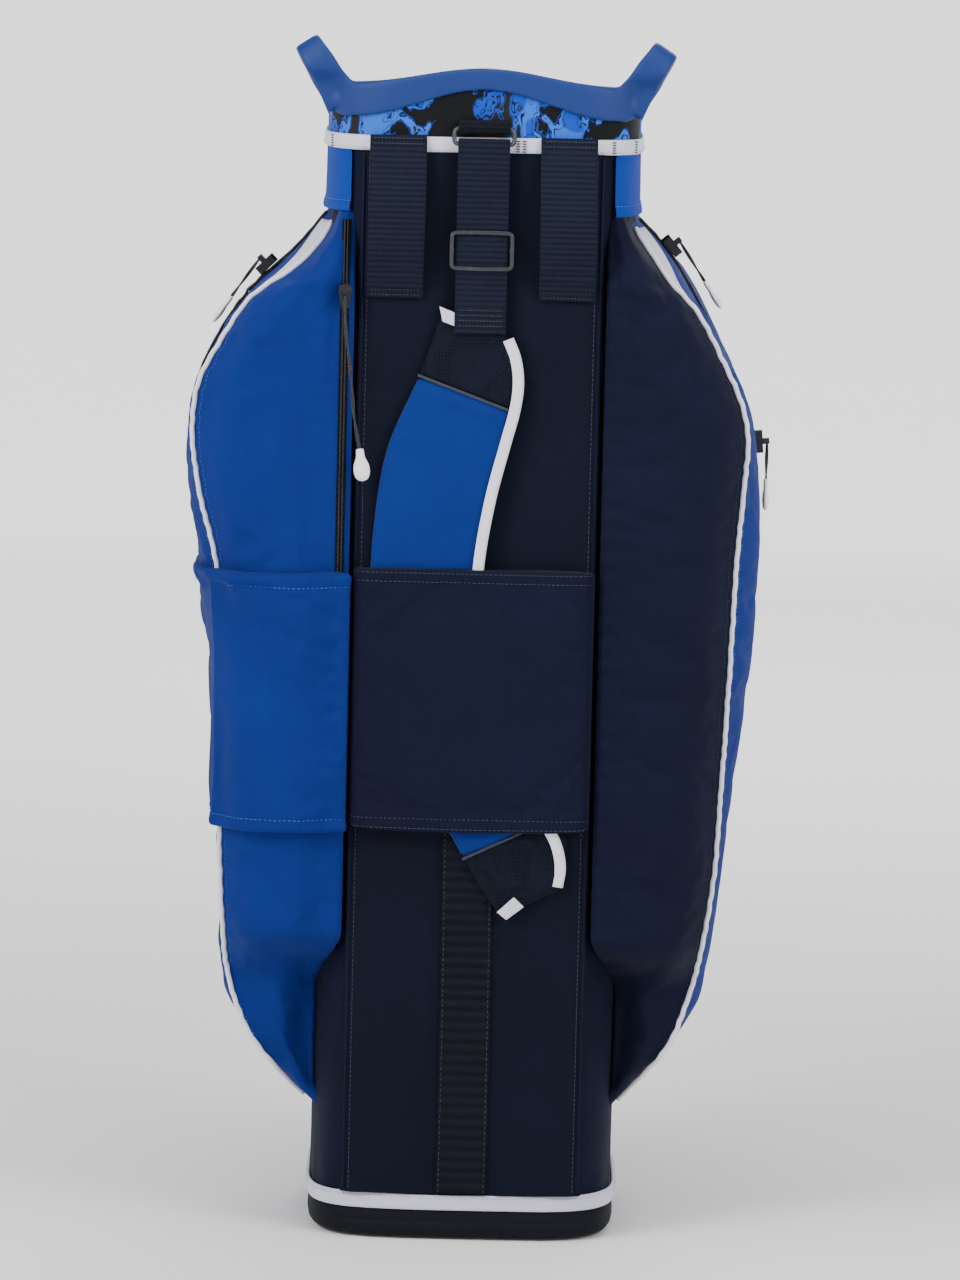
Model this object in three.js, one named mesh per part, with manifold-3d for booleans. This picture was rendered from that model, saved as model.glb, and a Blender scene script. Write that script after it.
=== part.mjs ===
// Free-standing golf cart bag: a rounded-square body on a moulded base, a fourteen-way divided
// top under a moulded collar with two side lift handles, two full-length side pockets, two front
// pockets, and a shoulder strap stowed behind a sleeve on the back.
// Millimetres. +Z is up, the strap side faces -Y, and the origin is the centre of the underside.

import * as THREE from "three";
import { mergeVertices } from "three/addons/utils/BufferGeometryUtils.js";
import Module from "manifold-3d";

const wasm = await Module();
wasm.setup();

// ---------------------------------------------------------------- driving dimensions

const clearance = 0.3; // between pieces that touch
const squareness = 4.5; // superellipse exponent of every horizontal outline
const aroundSteps = 48; // points round the body

const linerHalf = 113; // half width of the plastic liner, outside
const linerWall = 2;
const flangeHalf = 116.5; // base flange, between the liner and the skin
const skinHalf = 120; // half width of the fabric body, outside
const skinWall = 3;
const cuffHalf = 122; // printed cuff
const trimHalf = 124.5; // binding round the cuff
const collarHalf = 125.5; // moulded collar, outside
const collarWall = 3;
const collarInnerWall = 2.5;
const collarLip = 5; // thickness of the collar's top

const baseHeight = 24;
const baseFloorBottom = 2; // the grip pad stands proud of the base by this much
const baseFloor = 7;
const baseTrimHeight = 13;
const cuffHem = 803; // lower edge of the cuff
const cuffTrimBottom = 851.3;
const cuffTrimHeight = 12;
const rimRear = 905; // collar's top edge at the back corners
const rimFront = 880; // collar's top edge at the front
const rimCrown = 11; // extra height in the middle of the back
const skirtRear = 27; // height of the collar's skirt at the back corners
const skirtArch = 10; // how much further the skirt is cut away in the middle of the back
const skirtSide = 13; // how much shorter the skirt is on the sides than at the back corners

const spineHalf = 94; // half width of the padded back panel
const bandEnd = 100; // where the cuff's side band stops, from the middle of the back
const spineWall = 2.2;
const webbingHalf = 20; // 40 mm strap and spine webbing
const loopHalf = 22; // 44 mm cart strap loops
const loopCentre = 66;

const pocketBottom = 92;
const pocketTop = cuffHem;
const pocketWall = 3;
const pocketInnerEdge = 97; // where a side pocket starts, from the middle of the back
const tuckStart = 245; // below this a side pocket draws back from the body's rear corner

const sleeveBottom = 326;
const sleeveTop = 531;
const tunnelBottom = 321;
const tunnelTop = 527;
const tunnelGap = 8; // room between the tunnel panel and the pocket
const tunnelWall = 1.6;

const dividerWall = 3;
const dividerBead = 5; // radius of the padded top edge
const dividerBottom = 16;
const dividerBelowRim = 12;
const crossDividers = [-56, 0, 56]; // where the side-to-side dividers stand
const threeWide = [-36, 36]; // short dividers in a row of three wells
const fourWide = [-54, 0, 54]; // short dividers in a row of four wells

// ---------------------------------------------------------------- colours

const finish = (color, roughness, metalness = 0) =>
  new THREE.MeshStandardMaterial({ color, roughness, metalness });
const finishes = {
  blueFabric: finish(0x1a4b97, 0.75),
  navyFabric: finish(0x1b2338, 0.8),
  printedFabric: finish(0x2f6fd6, 0.8),
  whiteBinding: finish(0xdcd8e4, 0.7),
  webbing: finish(0x232a38, 0.85),
  mesh: finish(0x20252b, 0.9),
  collarPlastic: finish(0x3a5f9f, 0.45),
  basePlastic: finish(0x23272e, 0.6),
  rubber: finish(0x17181a, 0.9),
  linerPlastic: finish(0x15171b, 0.6),
  lining: finish(0x2a2e36, 0.95),
  blackMetal: finish(0x2b2d2f, 0.35, 0.9),
  cord: finish(0x101114, 0.8),
  whitePlastic: finish(0xe6e6e2, 0.5),
};

// ---------------------------------------------------------------- solids

// Indexed geometry from points and triangles, turned so that its faces point out.
function closedGeometry(points, triangles) {
  let volume = 0;
  for (const [i, j, k] of triangles) {
    const [a, b, c] = [points[i], points[j], points[k]];
    volume += a.dot(new THREE.Vector3().crossVectors(b, c));
  }
  const index = triangles.flatMap(([i, j, k]) => (volume < 0 ? [i, k, j] : [i, j, k]));
  const geometry = new THREE.BufferGeometry().setFromPoints(points);
  geometry.setIndex(index);
  return geometry;
}

function toSolid(geometry) {
  const bare = geometry.clone();
  for (const name of Object.keys(bare.attributes)) {
    if (name !== "position") bare.deleteAttribute(name);
  }
  const merged = mergeVertices(bare, 1e-3);
  return new wasm.Manifold(
    new wasm.Mesh({
      numProp: 3,
      vertProperties: merged.attributes.position.array,
      triVerts: new Uint32Array(merged.index.array),
    }),
  );
}

function toGeometry(solid) {
  const mesh = solid.getMesh();
  const geometry = new THREE.BufferGeometry();
  geometry.setAttribute("position", new THREE.BufferAttribute(mesh.vertProperties, mesh.numProp));
  geometry.setIndex(new THREE.BufferAttribute(mesh.triVerts, 1));
  return geometry;
}

const cut = (from, ...tools) =>
  toGeometry(tools.reduce((left, tool) => left.subtract(toSolid(tool)), toSolid(from)));
const join = (first, ...others) =>
  toGeometry(others.reduce((whole, other) => whole.add(toSolid(other)), toSolid(first)));

// A solid through horizontal outlines: each section is { z, outline: [[x, y], ...] }.
function loft(sections) {
  const count = sections[0].outline.length;
  const points = sections.flatMap(({ z, outline }) => outline.map(([x, y]) => new THREE.Vector3(x, y, z)));
  const triangles = [];
  for (let level = 0; level + 1 < sections.length; level++) {
    for (let i = 0; i < count; i++) {
      const a = level * count + i;
      const b = level * count + ((i + 1) % count);
      triangles.push([a, b, b + count], [a, b + count, a + count]);
    }
  }
  const capOf = ({ outline }) =>
    THREE.ShapeUtils.triangulateShape(outline.map(([x, y]) => new THREE.Vector2(x, y)), []);
  const clockwise = THREE.ShapeUtils.isClockWise(
    sections[0].outline.map(([x, y]) => new THREE.Vector2(x, y)),
  );
  const turn = (face, flip) => (flip ? [face[0], face[2], face[1]] : face);
  const last = (sections.length - 1) * count;
  for (const face of capOf(sections[0])) triangles.push(turn(face, !clockwise));
  for (const face of capOf(sections.at(-1))) {
    triangles.push(turn(face, clockwise).map((i) => i + last));
  }
  return closedGeometry(points, triangles);
}

// A closed outline in the (y, z) plane carried along X from x0 to x1. Holes are outlines too.
function extrudeAcross(outline, x0, x1, holes = []) {
  const shape = new THREE.Shape(outline.map(([y, z]) => new THREE.Vector2(y, z)));
  shape.holes = holes.map((hole) => new THREE.Path(hole.map(([y, z]) => new THREE.Vector2(y, z))));
  const geometry = new THREE.ExtrudeGeometry(shape, { depth: x1 - x0, bevelEnabled: false });
  geometry.applyMatrix4(
    new THREE.Matrix4().makeBasis(
      new THREE.Vector3(0, 1, 0),
      new THREE.Vector3(0, 0, 1),
      new THREE.Vector3(1, 0, 0),
    ),
  );
  return geometry.translate(x0, 0, 0);
}

// A closed outline in the (x, z) plane, from yNear (towards the back of the bag) to yFar.
function plate(outline, yNear, yFar, hole = null) {
  const shape = new THREE.Shape(outline.map(([x, z]) => new THREE.Vector2(x, z)));
  if (hole) shape.holes = [new THREE.Path(hole.map(([x, z]) => new THREE.Vector2(x, z)))];
  const geometry = new THREE.ExtrudeGeometry(shape, { depth: yFar - yNear, bevelEnabled: false });
  geometry.rotateX(Math.PI / 2);
  return geometry.translate(0, yFar, 0);
}

// ---------------------------------------------------------------- body outline

const unitRadius = (angle) =>
  (Math.abs(Math.cos(angle)) ** squareness + Math.abs(Math.sin(angle)) ** squareness) **
  (-1 / squareness);

function outlinePoint(half, angle) {
  const r = half * unitRadius(angle);
  return [r * Math.cos(angle), r * Math.sin(angle)];
}

// Distance from the middle to the front or back face of an outline, x to one side.
const faceAt = (half, x) => half * (1 - Math.abs(x / half) ** squareness) ** (1 / squareness);

const angles = Array.from({ length: aroundSteps }, (_, i) => (2 * Math.PI * i) / aroundSteps);
const bodyOutline = (half) => angles.map((angle) => outlinePoint(half, angle));

// A ring round the body. profile(x, y, angle) gives its section as [[half, z], ...].
function bodyRing(profile) {
  const rings = angles.map((angle) => {
    const [x, y] = outlinePoint(collarHalf, angle);
    return profile(x, y, angle).map(([half, z]) => {
      const [px, py] = outlinePoint(half, angle);
      return new THREE.Vector3(px, py, z);
    });
  });
  const size = rings[0].length;
  const triangles = [];
  rings.forEach((ring, i) => {
    const next = ((i + 1) % rings.length) * size;
    ring.forEach((_, j) => {
      const a = i * size + j;
      const b = i * size + ((j + 1) % size);
      const c = next + ((j + 1) % size);
      const d = next + j;
      triangles.push([a, b, c], [a, c, d]);
    });
  });
  return closedGeometry(rings.flat(), triangles);
}

const plainRing = (inner, outer, bottom, top) =>
  bodyRing(() => [
    [outer, bottom],
    [outer, top],
    [inner, top],
    [inner, bottom],
  ]);

// Outline of a strip lying on the body between two angles, both past its corners of the grid.
function sectorOutline(inner, outer, from, to) {
  const step = (2 * Math.PI) / aroundSteps;
  const grid = [from];
  for (let i = Math.ceil(from / step + 1e-6); i * step < to - 1e-6; i++) grid.push(i * step);
  grid.push(to);
  return [
    ...grid.map((angle) => outlinePoint(outer, angle)),
    ...grid.toReversed().map((angle) => outlinePoint(inner, angle)),
  ];
}

// ---------------------------------------------------------------- rim heights

const ramp = (t) => THREE.MathUtils.smoothstep(t, 0, 1);

const rearness = (y) => THREE.MathUtils.clamp((-y - 90) / 30, 0, 1);
const rearArch = (x, y) => rearness(y) * Math.cos((Math.PI * THREE.MathUtils.clamp(x / 200, -0.5, 0.5))) ** 2;
const rimPlane = (y) => THREE.MathUtils.mapLinear(y, -collarHalf, collarHalf, rimRear, rimFront);
const rimTop = (x, y) => rimPlane(y) + rimCrown * rearArch(x, y);
const skirtBottom = (x, y) =>
  Math.max(
    rimPlane(y) - skirtRear + (rimCrown + skirtArch) * rearArch(x, y) + skirtSide * ramp((y + 108) / 34),
    cuffTrimBottom + cuffTrimHeight + 1,
  );

// ---------------------------------------------------------------- base, liner, skin, cuff

function baseCup() {
  const outer = [
    [115, baseFloorBottom],
    [119.5, 5],
    [121, 12],
    [120, baseHeight],
  ];
  const outside = loft([
    ...outer.map(([half, z]) => ({ z, outline: bodyOutline(half) })),
    { z: baseHeight + 0.01, outline: bodyOutline(flangeHalf) },
    { z: baseHeight + baseTrimHeight - 1, outline: bodyOutline(flangeHalf) },
  ]);
  const inside = loft([
    { z: baseFloorBottom + baseFloor, outline: bodyOutline(linerHalf + clearance) },
    { z: baseHeight + baseTrimHeight, outline: bodyOutline(linerHalf + clearance) },
  ]);
  const padRecess = loft([
    { z: 0, outline: bodyOutline(105 + clearance) },
    { z: 4 + clearance, outline: bodyOutline(105 + clearance) },
  ]);
  return cut(outside, inside, padRecess);
}

const baseGripPad = () =>
  loft([
    { z: 0, outline: bodyOutline(104) },
    { z: 1, outline: bodyOutline(105) },
    { z: 4, outline: bodyOutline(105) },
  ]);

const linerBottom = baseFloorBottom + baseFloor + clearance;
const linerTop = 868;
const bodyLiner = () => plainRing(linerHalf - linerWall, linerHalf, linerBottom, linerTop);
const bodySkin = () =>
  plainRing(skinHalf - skinWall, skinHalf, baseHeight + clearance, cuffTrimBottom - clearance);
const baseTrim = () =>
  plainRing(skinHalf + clearance, skinHalf + 2.5, baseHeight, baseHeight + baseTrimHeight);
const cuffBand = () =>
  bodyRing((x, y) => {
    const top = rimTop(x, y) - 7;
    return [
      [cuffHalf, cuffTrimBottom],
      [cuffHalf, top],
      [skinHalf - skinWall, top],
      [skinHalf - skinWall, cuffTrimBottom],
    ];
  });
const cuffTrim = () =>
  plainRing(cuffHalf + clearance, trimHalf, cuffTrimBottom, cuffTrimBottom + cuffTrimHeight);

// Covers the sides and front only: the back panel runs up between its ends.
function cuffSideBand() {
  const start = -Math.atan2(faceAt(skinHalf, bandEnd), bandEnd);
  const strip = (thickness) =>
    sectorOutline(skinHalf + clearance, skinHalf + thickness, start, Math.PI - start);
  return loft([
    { z: cuffHem, outline: strip(4) },
    { z: cuffHem + 5, outline: strip(3.2) },
    { z: cuffHem + 9, outline: strip(2.4) },
    { z: cuffTrimBottom - clearance, outline: strip(2.2) },
  ]);
}

// ---------------------------------------------------------------- collar with lift handles

const collarInner = linerHalf - linerWall - clearance - collarInnerWall;

function collarRing() {
  return bodyRing((x, y) => {
    const top = rimTop(x, y);
    const skirt = skirtBottom(x, y);
    return [
      [collarHalf - 0.8, skirt],
      [collarHalf, skirt + 1],
      [collarHalf, top - 3],
      [collarHalf - 2.5, top],
      [collarInner + 2, top],
      [collarInner, top - 2],
      [collarInner, linerTop - 20],
      [collarInner + collarInnerWall, linerTop - 20],
      [collarInner + collarInnerWall, top - collarLip],
      [collarHalf - collarWall, top - collarLip],
      [collarHalf - collarWall, skirt],
    ];
  });
}

const handleLean = THREE.MathUtils.degToRad(33); // outward, from vertical
const handleBlade = 23.5; // width of the blade seen from behind
const handleReach = 48; // along the lean, from the root to the tip
const handleRear = -112;
const handleFront = 62;
const handleGrip = 12; // thickness of the grip bar
const handleLeg = 17;
const handleRoot = { x: 113, z: 895 };

function liftHandle(side) {
  const corner = 9;
  const outer = new THREE.Shape();
  outer.moveTo(handleRear, 0);
  outer.lineTo(handleRear, handleReach - corner);
  outer.quadraticCurveTo(handleRear, handleReach, handleRear + corner, handleReach);
  outer.lineTo(handleFront - corner, handleReach);
  outer.quadraticCurveTo(handleFront, handleReach, handleFront, handleReach - corner);
  outer.lineTo(handleFront, 0);
  outer.lineTo(handleFront - handleLeg, 0);
  outer.lineTo(handleFront - handleLeg, handleReach - handleGrip - corner);
  outer.quadraticCurveTo(
    handleFront - handleLeg,
    handleReach - handleGrip,
    handleFront - handleLeg - corner,
    handleReach - handleGrip,
  );
  outer.lineTo(handleRear + handleLeg + corner, handleReach - handleGrip);
  outer.quadraticCurveTo(
    handleRear + handleLeg,
    handleReach - handleGrip,
    handleRear + handleLeg,
    handleReach - handleGrip - corner,
  );
  outer.lineTo(handleRear + handleLeg, 0);
  const bevel = 2.5;
  const loop = new THREE.ExtrudeGeometry(outer, {
    depth: handleBlade - 2 * bevel,
    bevelThickness: bevel,
    bevelSize: bevel,
    bevelOffset: -bevel,
    bevelSegments: 1,
    curveSegments: 3,
  });
  loop.translate(0, 0, bevel - handleBlade / 2);
  // Shape x runs along the bag's Y, shape y along the lean, and the depth across the blade.
  const up = new THREE.Vector3(side * Math.sin(handleLean), 0, Math.cos(handleLean));
  const along = new THREE.Vector3(0, 1, 0);
  const across = new THREE.Vector3().crossVectors(along, up);
  loop.applyMatrix4(new THREE.Matrix4().makeBasis(along, up, across));
  const slope = Math.atan2(rimRear - rimFront, 2 * collarHalf);
  loop.translate(0, -handleRear, 0).rotateX(-slope).translate(0, handleRear, 0);
  return loop.translate(side * handleRoot.x, 0, handleRoot.z);
}

function topCollar() {
  const innerSpace = loft([
    { z: rimFront - 60, outline: bodyOutline(collarInner) },
    { z: rimRear + 60, outline: bodyOutline(collarInner) },
  ]);
  // The handles end inside the collar's walls, well short of the space the cuff sits in.
  const bite = 1;
  const cuffSpace = bodyRing((x, y) => [
    [collarHalf - collarWall + bite, cuffHem],
    [collarHalf - collarWall + bite, rimTop(x, y) - collarLip + bite],
    [collarInner + collarInnerWall - bite, rimTop(x, y) - collarLip + bite],
    [collarInner + collarInnerWall - bite, cuffHem],
  ]);
  const handles = [-1, 1].map((side) => cut(liftHandle(side), innerSpace, cuffSpace));
  return join(collarRing(), ...handles);
}

// ---------------------------------------------------------------- dividers

const innerHalf = linerHalf - linerWall - 3.2; // clear of the liner and of the collar's inner skirt

// A padded bead along the top edge of a divider, from one point to the other.
function bead(from, to) {
  const disc = new THREE.Shape().absarc(0, 0, dividerBead, 0, 2 * Math.PI);
  return new THREE.ExtrudeGeometry(disc, {
    steps: 1,
    curveSegments: 6,
    bevelEnabled: false,
    extrudePath: new THREE.LineCurve3(from, to),
  });
}

function crossDivider(y) {
  const half = faceAt(innerHalf, y) - 0.5;
  const top = rimPlane(y) - dividerBelowRim;
  const sheet = new THREE.BoxGeometry(2 * half, dividerWall, top - dividerBottom);
  sheet.translate(0, y, (top + dividerBottom) / 2);
  return join(sheet, bead(new THREE.Vector3(-half, y, top), new THREE.Vector3(half, y, top)));
}

function shortDivider(x, from, to) {
  const topAt = (y) => rimPlane(y) - dividerBelowRim;
  const sheet = extrudeAcross(
    [
      [from, dividerBottom],
      [to, dividerBottom],
      [to, topAt(to)],
      [from, topAt(from)],
    ],
    x - dividerWall / 2,
    x + dividerWall / 2,
  );
  return join(
    sheet,
    bead(new THREE.Vector3(x, from, topAt(from)), new THREE.Vector3(x, to, topAt(to))),
  );
}

// The four rows of wells, from the back, each between two limits in Y.
function dividerRows() {
  const beside = dividerBead + clearance;
  const [rear, middle, front] = crossDividers;
  const wallAt = (x) => faceAt(innerHalf, x) - 1.5;
  return [
    { xs: threeWide, from: -wallAt(threeWide[1]), to: rear - beside },
    { xs: fourWide, from: rear + beside, to: middle - beside },
    { xs: fourWide, from: middle + beside, to: front - beside },
    { xs: threeWide, from: front + beside, to: wallAt(threeWide[1]) },
  ];
}

// ---------------------------------------------------------------- side pockets

// Smooth reading of a table of [z, value] rows, lowest first.
function readTable(rows, z) {
  if (z <= rows[0][0]) return rows[0][1];
  if (z >= rows.at(-1)[0]) return rows.at(-1)[1];
  const i = rows.findIndex(([at]) => at > z) - 1;
  const [z0, v0] = rows[i];
  const [z1, v1] = rows[i + 1];
  const slope = (k) => {
    const [za, va] = rows[Math.max(k - 1, 0)];
    const [zb, vb] = rows[Math.min(k + 1, rows.length - 1)];
    return (vb - va) / (zb - za);
  };
  const t = (z - z0) / (z1 - z0);
  const step = z1 - z0;
  return (
    v0 * (1 + 2 * t) * (1 - t) ** 2 +
    slope(i) * step * t * (1 - t) ** 2 +
    v1 * t * t * (3 - 2 * t) +
    slope(i + 1) * step * t * t * (t - 1)
  );
}

// How far each side pocket stands out beyond the body, by height.
const leftFullness = [
  [pocketBottom, -3],
  [110, 16],
  [145, 48],
  [180, 68],
  [205, 74],
  [320, 78],
  [450, 85],
  [530, 96],
  [590, 106],
  [640, 105],
  [680, 94],
  [733, 62],
  [770, 24],
  [pocketTop, -3],
];
const rightFullness = [
  [pocketBottom, -3],
  [110, 12],
  [145, 42],
  [180, 60],
  [215, 67],
  [320, 79],
  [450, 94],
  [530, 98],
  [590, 98],
  [640, 93],
  [680, 78],
  [733, 50],
  [770, 27],
  [pocketTop, -3],
];
// How far a side pocket's piped seam lies inside its widest line.
const pipingInset = [
  [pocketBottom, 3],
  [180, 7],
  [300, 4],
  [380, 9],
  [450, 14],
  [540, 15],
  [590, 11],
  [640, 5],
  [690, 3],
  [733, 4],
  [757, 12],
  [785, 12],
  [pocketTop, 4],
];

// Outline of a side pocket at height z, shrunk by wall. It closes inside the body.
function pocketOutline(z, side, fullness, wall = 0) {
  const out = readTable(fullness, z);
  const edge = skinHalf + out - wall;
  const seam = edge - readTable(pipingInset, z);
  const rear = ramp((z - pocketBottom) / 70) * ramp((pocketTop - z) / 55);
  const tuck = ramp((tuckStart - z) / 50);
  const swell = THREE.MathUtils.clamp(out / 40, 0, 1);
  const inner = pocketInnerEdge + 20 * tuck * THREE.MathUtils.clamp(out / 20, 0, 1) + wall;
  const innerY = THREE.MathUtils.lerp(-(104 + 21.5 * rear), -76, tuck) + wall;
  const rearY = THREE.MathUtils.lerp(-(106 + 30 * rear), -(76 + 14 * rear), tuck) + wall;
  const seamY = -(65 + 43 * swell - 26 * tuck) + wall;
  const frontY = 96 + 10 * swell - wall;
  const across = seam - inner;
  const alongSide = (t) => THREE.MathUtils.lerp(seamY, frontY, t);
  const half = [
    [inner, THREE.MathUtils.lerp(-92, -64, tuck)],
    [inner, innerY + 3],
    [inner + 0.04 * across, innerY],
    [inner + 0.17 * across, innerY - 1.5],
    [inner + 0.42 * across, rearY],
    [inner + 0.76 * across, rearY + 4],
    [seam, seamY],
    [edge - 1.5, alongSide(0.16)],
    [edge, alongSide(0.35)],
    [edge - 1, alongSide(0.55)],
    [edge - 0.06 * out, alongSide(0.73)],
    [edge - 0.2 * out, alongSide(0.87)],
    [skinHalf + 0.45 * out - wall, frontY - 4],
    [skinHalf - 2 - wall, frontY],
    [inner + 4, frontY - 2],
    [inner, 88],
  ];
  return half.map(([x, y]) => [side * x, y]);
}

const pocketLevels = [
  ...[pocketBottom, 110, 130, 150, 180, 200, 220, 245],
  ...[tunnelBottom, 420, tunnelTop],
  ...[590, 640, 680, 733, 770, 790, pocketTop],
];

const bodyColumn = (extra) =>
  loft([
    { z: 0, outline: bodyOutline(skinHalf + extra) },
    { z: 1000, outline: bodyOutline(skinHalf + extra) },
  ]);

// Open towards the body: a panel and gusset sewn on round their edge, with its zip tracks.
function sidePocket(side, fullness, tracks) {
  const through = (wall) =>
    loft(
      pocketLevels.map((level) => {
        const z = THREE.MathUtils.clamp(level, pocketBottom + wall, pocketTop - wall);
        return { z, outline: pocketOutline(z, side, fullness, wall) };
      }),
    );
  return join(cut(through(0), through(pocketWall), bodyColumn(clearance)), ...tracks);
}

// The tunnel panel follows the left pocket and stands off it. It is sewn down in the seam beside
// the back panel and on the pocket's side, and is open at the top and the bottom.
function strapTunnel() {
  const levels = [tunnelBottom, 420, tunnelTop]; // the pocket's own levels, so the gap is even
  const seamInner = -96.6;
  const seamOuter = -95.2;
  const seamY = -113;
  const skin = (z, offset) =>
    pocketOutline(z, -1, leftFullness, -offset)
      .slice(2, 10)
      .map(([x, y]) => [Math.min(x, seamInner), y]);
  const sewnEnd = (z, offset) => pocketOutline(z, -1, leftFullness, -offset)[10];
  return loft(
    levels.map((z) => ({
      z,
      outline: [
        [seamOuter, seamY],
        [seamOuter, -132],
        ...skin(z, tunnelGap + tunnelWall),
        sewnEnd(z, clearance + tunnelWall),
        sewnEnd(z, clearance),
        ...skin(z, tunnelGap).toReversed(),
        [seamInner, seamY],
      ],
    })),
  );
}

// ---------------------------------------------------------------- front pockets

function frontPocket({ bottom, top, half, depth }, tracks) {
  const rise = [
    [bottom, -0.06],
    [bottom + 9, 0.5],
    [bottom + 28, 0.85],
    [bottom + 65, 1],
    [top - 60, 1],
    [top - 26, 0.85],
    [top - 8, 0.5],
    [top, -0.06],
  ];
  const outline = (share, wall) => {
    const y = skinHalf + depth * share - wall;
    const w = half - wall - 10 * (1 - share);
    return [
      [-w, 95],
      [-w, Math.max(y - 20, 100)],
      [-w + 5, Math.max(y - 6, 102)],
      [-w + 18, y],
      [w - 18, y],
      [w - 5, Math.max(y - 6, 102)],
      [w, Math.max(y - 20, 100)],
      [w, 95],
    ];
  };
  const through = (wall) =>
    loft(
      rise.map(([level, share]) => {
        const z = THREE.MathUtils.clamp(level, bottom + wall, top - wall);
        return { z, outline: outline(share, wall) };
      }),
    );
  return join(cut(through(0), through(pocketWall), bodyColumn(clearance)), ...tracks);
}

const ballPocket = { bottom: 108, top: 462, half: 86, depth: 82 };
const accessoryPocket = { bottom: 474, top: 782, half: 80, depth: 58 };

// ---------------------------------------------------------------- back panel, webbing, sleeve

function spinePanel() {
  const corner = Math.atan2(faceAt(skinHalf, spineHalf), spineHalf);
  const inner = skinHalf + clearance;
  const outline = sectorOutline(inner, inner + spineWall, corner - Math.PI, -corner);
  return loft([
    { z: baseHeight + baseTrimHeight + clearance, outline },
    { z: cuffTrimBottom - clearance, outline },
  ]);
}

const spineFace = -(skinHalf + clearance + spineWall); // back face of the back panel
const spineWebbing = () => {
  const bottom = baseHeight + baseTrimHeight + 1;
  const top = sleeveTop - 16;
  const strip = new THREE.BoxGeometry(2 * webbingHalf, 2.2, top - bottom);
  return strip.translate(0, spineFace - clearance - 1.1, (top + bottom) / 2);
};

const mirrored = (half) => [...half, ...half.toReversed().map(([x, y]) => [-x, y])];

function strapSleeve() {
  const outer = [
    [-93.5, -115.5],
    [-92.5, -128],
    [-87, -135.5],
    [-76, -137.5],
    [-30, -138.8],
  ];
  const inner = [
    [-91.5, -115.5],
    [-90.5, -127],
    [-85.5, -133.5],
    [-75, -135.4],
    [-30, -136.7],
  ];
  const outline = [...mirrored(outer), ...mirrored(inner).toReversed()];
  return loft([
    { z: sleeveBottom, outline },
    { z: sleeveTop, outline },
  ]);
}

// Bowed webbing sewn to the back panel at both ends, one each side of the shoulder strap.
function cartStrapLoop(side) {
  const outline = [
    [-126.8, 864],
    [-131, 850],
    [-138, 825],
    [-141, 800],
    [-139, 775],
    [-132, 752],
    [-126.6, 739],
    [-124.6, 739],
    [-130, 753],
    [-137, 776],
    [-139, 800],
    [-136, 824.5],
    [-129, 849],
    [-124.8, 864],
  ];
  return extrudeAcross(outline, side * loopCentre - loopHalf, side * loopCentre + loopHalf);
}

// ---------------------------------------------------------------- shoulder strap

const ringBarY = -129.8;
const ringBottomZ = 858.5;
const ringTopZ = 870;
const barRadius = 1.8;
const padNear = -134;
const padFar = -126;

const arc = (cy, cz, radius, from, to, steps) =>
  Array.from({ length: steps + 1 }, (_, i) => {
    const angle = from + ((to - from) * i) / steps;
    return [cy + radius * Math.cos(angle), cz + radius * Math.sin(angle)];
  });

function strapRing() {
  const halfWidth = 23;
  const corner = 3;
  const [low, high] = [ringBottomZ, ringTopZ];
  const path = new THREE.CurvePath();
  const at = (x, z) => new THREE.Vector3(x, ringBarY, z);
  const turns = [
    [at(halfWidth - corner, low), at(halfWidth, low), at(halfWidth, low + corner)],
    [at(halfWidth, high - corner), at(halfWidth, high), at(halfWidth - corner, high)],
    [at(corner - halfWidth, high), at(-halfWidth, high), at(-halfWidth, high - corner)],
    [at(-halfWidth, low + corner), at(-halfWidth, low), at(corner - halfWidth, low)],
  ];
  turns.forEach(([from, knee, to], i) => {
    path.add(new THREE.QuadraticBezierCurve3(from, knee, to));
    path.add(new THREE.LineCurve3(to, turns[(i + 1) % turns.length][0]));
  });
  return new THREE.TubeGeometry(path, 56, barRadius, 8, true);
}

function ringAnchorLoop() {
  const outline = [
    [-123.2, 876.5],
    [-126.5, 877],
    [-131.5, 875],
    [-133.6, 871],
    [-133.6, 868.5],
    [-131.2, 865.2],
    [-127.8, 865.2],
    [-123.2, 869],
  ];
  const hole = arc(ringBarY, ringTopZ, barRadius + 0.6, 0, (2 * Math.PI * 11) / 12, 11);
  return extrudeAcross(outline, -webbingHalf, webbingHalf, [hole]);
}

// Runs up from the pad, over the ring's lower bar, and back down behind the buckle's middle bar.
function strapWebbing() {
  const gapHalf = barRadius + 0.4;
  const layer = 1.6;
  const over = (radius, reversed) => {
    const points = arc(ringBarY, ringBottomZ + 0.2, radius, Math.PI, 0, 6);
    return reversed ? points.toReversed() : points;
  };
  const outline = [
    [ringBarY - gapHalf - layer, 713],
    ...over(gapHalf + layer, false),
    [ringBarY + gapHalf + layer, 747],
    [ringBarY + gapHalf, 747],
    ...over(gapHalf, true),
    [ringBarY - gapHalf, 713],
  ];
  return extrudeAcross(outline, -webbingHalf, webbingHalf);
}

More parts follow.
